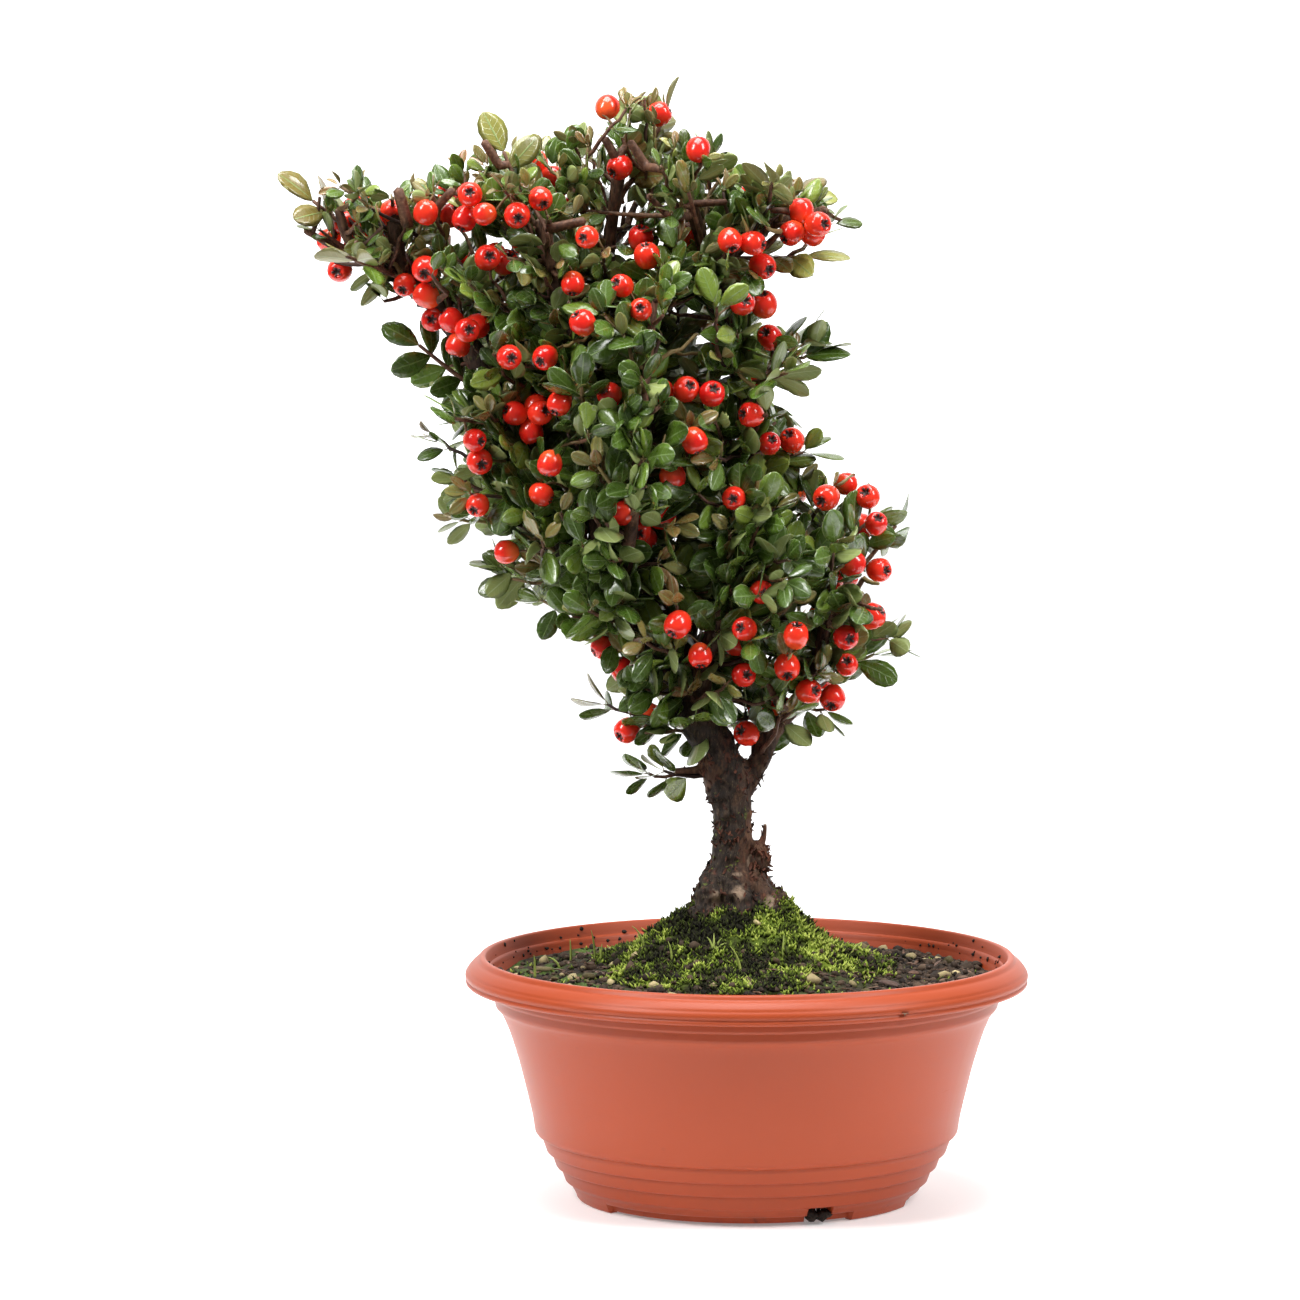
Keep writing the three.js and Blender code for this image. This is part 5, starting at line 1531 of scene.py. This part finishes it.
def spurs_on(lines):
    """Short leafy spurs all along the limbs, the way this shrub's old wood carries them."""
    spurs = []
    for branch, (line, _) in enumerate(lines[1:]):
        for i in range(3, len(line), 3):
            if line[i][2] < SPURS_ABOVE:
                continue
            number = 20000 + 100 * branch + i
            way = unit(line[min(i + 1, len(line) - 1)] - line[i - 1])
            out = np.array([spread(number, 0, 41), 1.6 * spread(number, 1, 42), 0.5 + spread(number, 2, 43)])
            out[1] += 0.9 * np.sign(line[i][1] + 0.01)
            out = square_to(out, way)
            length = 7 + 8 * draw(number, 3, 44)
            tip = line[i] + (out + 0.35 * way) * length
            spur = curve(line[i], out, tip, 4, 0.3)
            spurs.append({
                "number": number, "line": spur, "radii": np.linspace(1.1, 0.7, 4), "rosette": 4, "young": 0.0,
                "first": 0.4, "stands_out": False,
            })
    return spurs


def cut_stubs(carriers):
    """The stubs as lines from the nearest wood to their cut ends, with their radii."""
    places, _, _, _ = carriers.arrays()
    stubs = []
    for px, py, end_px, end_py, radius in STUBS:
        x, _, z = on_photo(px, py, 0)
        y = 0.55 * (front_of_crown(x, z, -1) or -8.0)
        foot, end = on_photo(px, py, y), on_photo(end_px, end_py, y - 2)
        seat = places[int(np.argmin(distances(places, foot)))]
        line = np.array([seat, 0.5 * (seat + foot), foot, 0.5 * (foot + end), end])
        stubs.append((line, radius * np.array([0.8, 0.9, 1.0, 0.95, 0.85])))
    return stubs


def bare_points(stubs):
    """Places along the limbs' cut ends and the stubs that leaves leave open to the front."""
    places = [line[2] + (line[4] - line[2]) * t for line, _ in stubs for t in np.linspace(0.1, 1, 5)]
    for branch, count in BARE_ENDS.items():
        points = [np.array(p, float) for p in LIMBS[branch][0][-count - 1 :]]
        for one, two in zip(points, points[1:]):
            places += [one + (two - one) * t for t in np.linspace(0.35 if one is points[0] else 0, 1, 8)]
    return np.array(places)


def on_photo(px, py, y):
    """The place at depth y that the photograph shows at a pixel, in millimetres from the bowl's axis."""
    focus = CAMERA_LENS / CAMERA_SENSOR * PHOTO_SIDE
    eye = CAMERA_PLACE / MM
    right, up = (px - PHOTO_SIDE / 2) / focus, (PHOTO_SIDE / 2 - py) / focus
    ray = np.array([
        right,
        math.cos(CAMERA_TILT) + up * math.sin(CAMERA_TILT),
        up * math.cos(CAMERA_TILT) - math.sin(CAMERA_TILT),
    ])
    return eye + ray * (y - eye[1]) / ray[1]


# What lies and grows on the soil where the photograph shows it, in its pixels.
BLADES = [
    ((535, 977), (534, 955)), ((571, 962), (570, 939)), ((595, 960), (591, 930)), ((601, 960), (602, 944)),
    ((645, 950), (632, 926)), ((713, 950), (707, 937)), ((714, 950), (714, 933)), ((716, 950), (722, 938)),
    ((715, 951), (727, 943)), ((741, 975), (730, 946)), ((783, 957), (784, 934)), ((672, 960), (668, 941)),
    ((850, 958), (862, 942)), ((560, 968), (548, 957)),
]
BLADE_RADII = [0.45, 0.5, 0.48, 0.42, 0.34, 0.22, 0.08]
SCRAPS = 190  # smaller bits of dead leaves, scattered
DEAD_LEAVES = [
    (766, 973, 8, 0.2), (861, 963, 9, 1.2), (876, 986, 10, 0.1), (889, 968, 7, 2.2), (846, 955, 6, 0.7),
    (604, 978, 7, 2.0), (905, 945, 6, 1.5), (700, 985, 6, 0.4), (565, 975, 6, 2.7), (930, 975, 7, 0.2),
]
STONES = [
    (757, 925, 3.4, 0.95), (612, 967, 3.6, 0.7), (714, 987, 3.6, 0.35), (750, 987, 3.2, 0.45),
    (812, 983, 6.2, 0.5), (956, 975, 3.4, 0.8), (937, 960, 2.8, 0.75), (925, 961, 2.8, 0.6),
    (866, 979, 3, 0.3), (852, 986, 3.4, 0.4), (944, 964, 2.6, 0.7), (636, 956, 3, 0.6),
]


def on_ground(px, py):
    """The place on moss or soil that the photograph shows at a pixel."""
    ray = np.array([on_photo(px, py, y) for y in np.arange(-96, 96, 0.5)])
    x, y = ray[:, 0], ray[:, 1]
    share = np.hypot(x - TRUNK_X, y) / moss_border(np.arctan2(y, x - TRUNK_X))
    ground = np.where(share < 1, moss_height(x, y), ground_height(x, y))
    hit = int(np.argmax((ray[:, 2] <= ground) & (np.hypot(x, y) < 95)))
    return np.array([x[hit], y[hit], ground[hit]])


def make_litter(grass, dry, stone):
    """Grass blades, dead leaves and the larger stones."""
    rng = np.random.default_rng(29)
    shape = Shape()
    for (px, py), (tx, ty) in BLADES:
        foot = on_ground(px, py) - UP * 0.8
        tip = on_photo(tx, ty, foot[1] + rng.uniform(-2, 2))
        line = curve(foot, UP, tip, 7, -0.6)
        add_tube(shape, line, BLADE_RADII, 4, tone=rng.uniform(0.4, 0.9))
    shape.place("grass_blades", grass, "moss_green")
    shape = Shape()
    leaves = []
    for px, py, length, turn in DEAD_LEAVES:
        place = on_ground(px, py) + UP * 1.5
        way = unit([math.cos(turn), math.sin(turn), rng.uniform(-0.1, 0.25)])
        leaf = {
            "base": place, "way": way, "up": square_to(UP + rng.normal(0, 0.25, 3), way), "length": length,
            "width": 0.55 * length, "arch": rng.uniform(-0.1, 0.3),
        }
        leaves.append(dressed(leaf, rng))
    for _ in range(SCRAPS):
        angle, away = rng.uniform(0, TURN), rng.uniform(40, 93)
        x, y = away * math.cos(angle), away * math.sin(angle)
        way = unit(np.array([rng.normal(), rng.normal(), 0.15 * rng.normal()]))
        length = rng.uniform(3, 7)
        place = np.array([x, y, ground_height(np.array([x]), np.array([y]))[0] + 1.3])
        leaf = {
            "base": place, "way": way, "up": square_to(UP + rng.normal(0, 0.3, 3), way), "length": length,
            "width": rng.uniform(0.15, 0.5) * length, "arch": rng.uniform(-0.2, 0.3),
        }
        if math.hypot(*(place + way * length)[:2]) < 96:
            leaves.append(dressed(leaf, rng))
    add_leaves(shape, leaves)
    shape.place("dead_leaves", dry, "bark")
    shape = Shape()
    places = np.array([on_ground(px, py) for px, py, _, _ in STONES])
    sizes = np.array([size for _, _, size, _ in STONES]) * 0.5
    tones = np.array([tone for _, _, _, tone in STONES])
    set_down(shape, lumps(rng, sizes, 0.75), places + np.outer(sizes * 0.35, UP), tones)
    shape.place("stones", stone, "potting_soil")


# Where the photograph shows berries, in its pixels.
BERRY_PIXELS = [
    (340, 270), (425, 268), (405, 284), (427, 296), (433, 320), (455, 307), (441, 265), (470, 195),
    (465, 218), (485, 214), (426, 212), (540, 198), (505, 263), (487, 258), (588, 237), (583, 323),
    (509, 357), (546, 357), (610, 395), (560, 402), (663, 391), (685, 390), (712, 394), (755, 385),
    (474, 440), (479, 460), (478, 482), (478, 505), (550, 463), (541, 494), (694, 440), (672, 476),
    (677, 497), (623, 513), (734, 498), (507, 552), (521, 566), (742, 303), (764, 305), (752, 243),
    (731, 240), (713, 250), (762, 266), (784, 218), (647, 256), (622, 286), (573, 283), (792, 441),
    (769, 444), (827, 497), (876, 524), (866, 530), (868, 497), (851, 563), (878, 570), (871, 617),
    (845, 637), (847, 665), (796, 636), (745, 629), (761, 592), (787, 666), (743, 675), (808, 691),
    (833, 697), (678, 624), (603, 647), (747, 734), (607, 108), (620, 167), (698, 150), (517, 215),
    (641, 310), (752, 415), (660, 470), (700, 655), (545, 180), (763, 280), (770, 338),
]
OTHER_BERRIES = 60
BERRY_RADII = (4.4, 5.25)


def front_of_crown(x, z, side):
    """How far the clumps reach to the front (side -1) or back (side 1) at a place."""
    best = None
    for *seen, deep, shift in CLUMPS:
        left = 1 - oval(x, z, *seen, 5)
        if left > 0:
            y = shift + side * deep * math.sqrt(left)
            best = y if best is None else (min(best, y) if side < 0 else max(best, y))
    return best


def berry_places():
    """Berries as the photograph shows them in front, and as many by rule on the sides and the back."""
    rng = np.random.default_rng(77)
    places = []
    for px, py in BERRY_PIXELS:
        y = -30.0
        for _ in range(3):
            x, _, z = on_photo(px, py, y)
            reach = front_of_crown(x, z, -1)
            y = -4.0 if reach is None else min(0.0, 0.92 * reach + 2)
        places.append((on_photo(px, py, y), np.array([0, -1.0, 0.1])))
    made = 0
    while made < OTHER_BERRIES:
        cx, cz, half, tall, deep, shift = CLUMPS[rng.integers(len(CLUMPS))]
        angle = rng.uniform(-0.35, math.pi + 0.35)
        lift = rng.uniform(-0.9, 0.6)
        out = unit(np.array([math.cos(angle), math.sin(angle), lift]))
        place = np.array([cx, shift, cz]) + out * np.array([half, deep, tall]) * rng.uniform(0.86, 1.02)
        made += 1
        if any(inside_clump(place, other) < 0.75 for other in CLUMPS):
            continue
        if min(np.linalg.norm(place - p) for p, _ in places) < 9.5:
            continue
        places.append((place, unit(place - np.array([cx, shift, cz]))))
        if rng.uniform() < 0.45:
            beside = place + unit(rng.normal(0, 1, 3)) * 10.2
            if min(np.linalg.norm(beside - p) for p, _ in places) > 9.3:
                places.append((beside, places[-1][1]))
    return places


def hang_berries(carriers, spurs, rng):
    """Gives each berry a short stalk to the nearest twig, and pushes it clear of the others."""
    places, _, thick, _ = carriers.arrays()
    centres = [berry["centre"] for berry in spurs]
    berries, stalks = [], []
    for place, out in berry_places():
        radius = rng.uniform(*BERRY_RADII)
        if min(np.hypot(place[0] - c[0], place[2] - c[2]) + 0.25 * abs(place[1] - c[1]) for c in centres) < 9:
            continue
        for _ in range(12):
            push = np.zeros(3)
            for other in centres:
                gap = place - other
                away = np.linalg.norm(gap)
                if away < 2 * radius + 0.2:
                    push += gap / max(away, 1e-6) * (2 * radius + 0.2 - away) * 0.6
            if not push.any():
                break
            place = place + push
        away = distances(places, place) - 0.5 * thick
        seat = places[int(np.argmin(away + 100 * (away < 4.5)))]
        way = unit(0.6 * unit(place - seat) + 0.4 * out - 0.12 * UP + 0.35 * rng.normal(0, 1, 3))
        foot = place - way * radius * 0.98
        length = np.linalg.norm(foot - seat)
        bend = curve(seat, unit(foot - seat + 0.3 * length * UP), foot, 5, -0.3)
        berries.append({"centre": place, "way": way, "radius": radius})
        stalks.append(bend)
        centres.append(place)
    return berries, stalks


def inside_outline(leaf):
    """True where, seen from the front, a leaf lies in the crown's outline and clear of its gaps."""
    for share in (0.55, 1.0):
        point = leaf["base"] + leaf["way"] * share * leaf["length"]
        depth = 1 + point[1] / -CAMERA_PLACE[1] * MM
        x, z = point[0] / depth, point[2] + point[1] * CAMERA_TILT
        holes = GAPS + HOLLOWS if point[1] < -4 else GAPS
        in_hole = any(oval(x, z, *hole) < 1 for hole in holes)
        if in_hole or min(oval(x, z, *clump[:4], OUTLINE_SLACK) for clump in CLUMPS) > 1:
            return False
    return True


def clear_of(leaf, centres, bare):
    """True unless a blade runs through a berry, hides most of it, or hides a limb's bare end."""
    length = leaf["length"]
    for share in (0.3, 0.6, 0.95):
        point = leaf["base"] + length * (leaf["way"] * share - leaf["up"] * leaf["arch"] * share * share)
        gap = point - centres
        if (np.linalg.norm(gap, axis=1) < 5.8).any():
            return False
        front = (gap[:, 1] * np.sign(centres[:, 1] + 0.01) > 0) & (np.hypot(gap[:, 0], gap[:, 2]) < 4.2)
        if (front & (np.abs(gap[:, 1]) < 26)).any() and share > 0.3:
            return False
        gap = point - bare
        if ((gap[:, 1] < 1) & (np.hypot(gap[:, 0], gap[:, 2]) < 3.6)).any():
            return False
    return True


# Assembly

STEMS_PER_PIECE, LEAVES_PER_PIECE = 8, 900
SPUR_RADII, STEM_RADII, STALK_RADII = (1.3, 0.8), (1.15, 0.7), (0.55, 0.4)


def nodes_named(start):
    return sorted(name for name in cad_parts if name.startswith(start))


def make_ground():
    moss = moss_finish()
    make_pot(plastic())
    make_soil(soil_finish())
    make_moss(moss)
    make_tufts(moss)
    stone = plain_finish("pebble", (0.07, 0.055, 0.022), (0.52, 0.42, 0.22), 300, 0.85, 0.6)
    make_pebbles(stone)
    make_crumbs(plain_finish("crumb", (0.008, 0.005, 0.004), (0.085, 0.055, 0.035), 500, 0.9, 0.6))
    grass = plain_finish("grass", (0.1, 0.16, 0.02), (0.36, 0.42, 0.1), 300, 0.5, 0.2)
    dry = plain_finish("dead_leaf", (0.035, 0.015, 0.013), (0.26, 0.14, 0.075), 350, 0.6, 0.4)
    make_litter(grass, dry, stone)


def read_node(node, find, radii, tone, wood, carriers, twigs):
    """What a spur or stem of the solids carries, and its own line, which becomes a twig."""
    points, near = welded(node)
    taken = set()
    found = find(points, near, taken)
    line = read_twig(points, taken, wood)
    radii = np.linspace(*radii, len(line))
    add_tube(twigs, line, radii, 6, tone=tone)
    carriers.add_line(line, radii, 1)
    return found, line


def read_stems(nodes, rng, *parts):
    """The leaves of the solids' stems, with more between them, in groups."""
    groups = []
    for number, node in enumerate(nodes):
        found, line = read_node(node, read_leaves, STEM_RADII, rng.uniform(0.2, 0.8), *parts)
        if number % STEMS_PER_PIECE == 0:
            groups.append(([], []))
        leaves, names = groups[-1]
        names.append(node)
        for one in found:
            root = line[np.argmin(distances(line, one["base"]))]
            leaves.append(dressed(one, rng, 0.55 * (one["base"][2] > YOUNG_STEMS_ABOVE), root))
        leaves += filter(inside_outline, leaves_along(line, 0.3, 6.5, 5000 + number, 2, 0.6, 0.92))
    return groups


def build():
    make_ground()
    lines = make_wood(bark_finish(), branches_into_lobes())
    wood = kdtree.KDTree(sum(len(line) for line, _ in lines))
    for line, _ in lines:
        for place in line:
            wood.insert(place, 0)
    wood.balance()
    carriers = Carriers()
    for line, radii in lines[1:]:
        carriers.add_line(line, radii, 2)

    rng = np.random.default_rng(5)
    twigs = Shape()
    spur_nodes = nodes_named("berry_spur")
    spur_berries = []
    for node in spur_nodes:
        spur_berries += read_node(node, read_berries, SPUR_RADII, 0.45, wood, carriers, twigs)[0]
    groups = read_stems(nodes_named("leafy_stem"), rng, wood, carriers, twigs)
    shoots = grow_shoots(carriers) + spurs_on(lines)
    stubs = cut_stubs(carriers)
    for line, radii in stubs:
        add_tube(twigs, *smooth_line(line, radii, 3), 8, tone=0.5)
    berries, stalks = hang_berries(carriers, spur_berries, rng)
    berries = spur_berries + berries
    for shoot in shoots:
        add_tube(twigs, shoot["line"], shoot["radii"], 5, tone=draw(shoot["number"], 3, 95))
    for stalk in stalks:
        add_tube(twigs, stalk, np.linspace(*STALK_RADII, 5), 4, tone=0.75)

    centres = np.array([berry["centre"] for berry in berries])
    bare = bare_points(stubs)
    material = leaf_finish()

    def place_leaves(name, leaves, nodes=()):
        shape = Shape()
        add_leaves(shape, leaves)
        shape.place(name, material, "leaf_green", replaces=nodes)

    for number, (leaves, nodes) in enumerate(groups, 1):
        place_leaves(f"stem_leaves_{number}", [one for one in leaves if clear_of(one, centres, bare)], nodes)
    crown = []
    for shoot in shoots:
        line, first, number = shoot["line"], shoot["first"], shoot["number"]
        leaves = leaves_along(line, first, LEAF_SPACING, number, shoot["rosette"], shoot["young"])
        crown += [one for one in leaves if shoot["stands_out"] or inside_outline(one)]
    crown = [one for one in crown if clear_of(one, centres, bare)]
    for first in range(0, len(crown), LEAVES_PER_PIECE):
        leaves = crown[first : first + LEAVES_PER_PIECE]
        place_leaves(f"crown_leaves_{first // LEAVES_PER_PIECE + 1}", leaves)
    twigs.place("twigs", twig_finish(), "bark")
    shape = Shape()
    add_berries(shape, berries, rng)
    shape.place("berries", berry_finish(), "berry_red", replaces=spur_nodes)


build()


# Floor, light and camera

def make_sheet(name, half, near, far, shade, glow):
    """A white sheet between two level edges, bright enough of its own to stay plain white."""
    f = Finish(name, Specular_IOR_Level=0.2, Emission_Color=(1, 1, 1, 1), Emission_Strength=glow)
    mesh = bpy.data.meshes.new(name)
    mesh.from_pydata([(-half, *near), (half, *near), (half, *far), (-half, *far)], [], [(0, 1, 2, 3)])
    mesh.materials.append(f.finish((shade, shade, shade), 0.7))
    sheet = link(name, mesh)


def make_light(name, place, size, power):
    """A rectangular lamp turned to the bonsai's middle."""
    light = bpy.data.lights.new(name, "AREA")
    light.shape = "RECTANGLE"
    light.size, light.size_y = size
    light.energy = power
    lamp = link(name, light)
    lamp.location = place
    aim = Vector((0, 0, 0.25)) - Vector(place)
    lamp.rotation_euler = aim.to_track_quat("-Z", "Y").to_euler()


def make_stage():
    back, under = 3.4, -0.0002
    make_sheet("floor", 0.75, (-0.26, under), (back, under), 0.84, 0.22)
    make_sheet("backdrop", 6, (back, -0.1), (back, 6), 0.9, 0.85)
    make_light("left", (-1.5, -1.0, 1.75), (0.6, 1.3), 54)
    make_light("right", (1.55, -0.9, 1.6), (0.5, 1.3), 41)
    make_light("top", (-0.1, -0.1, 2.2), (1.5, 1.3), 74)
    world = bpy.data.worlds.new("studio")
    world.use_nodes = True
    background = world.node_tree.nodes["Background"]
    background.inputs[0].default_value = (1, 1, 1, 1)
    background.inputs[1].default_value = 0.16
    scene = bpy.context.scene
    scene.world = world
    scene.view_settings.view_transform = "Standard"
    camera = bpy.data.cameras.new("camera")
    camera.lens = CAMERA_LENS
    camera.sensor_width = CAMERA_SENSOR
    camera.clip_end = 1000
    eye = link("camera", camera)
    eye.location = CAMERA_PLACE + AXIS
    eye.rotation_euler = (math.pi / 2 - CAMERA_TILT, 0, 0)
    scene.camera = eye


make_stage()

bpy.context.view_layer.update()
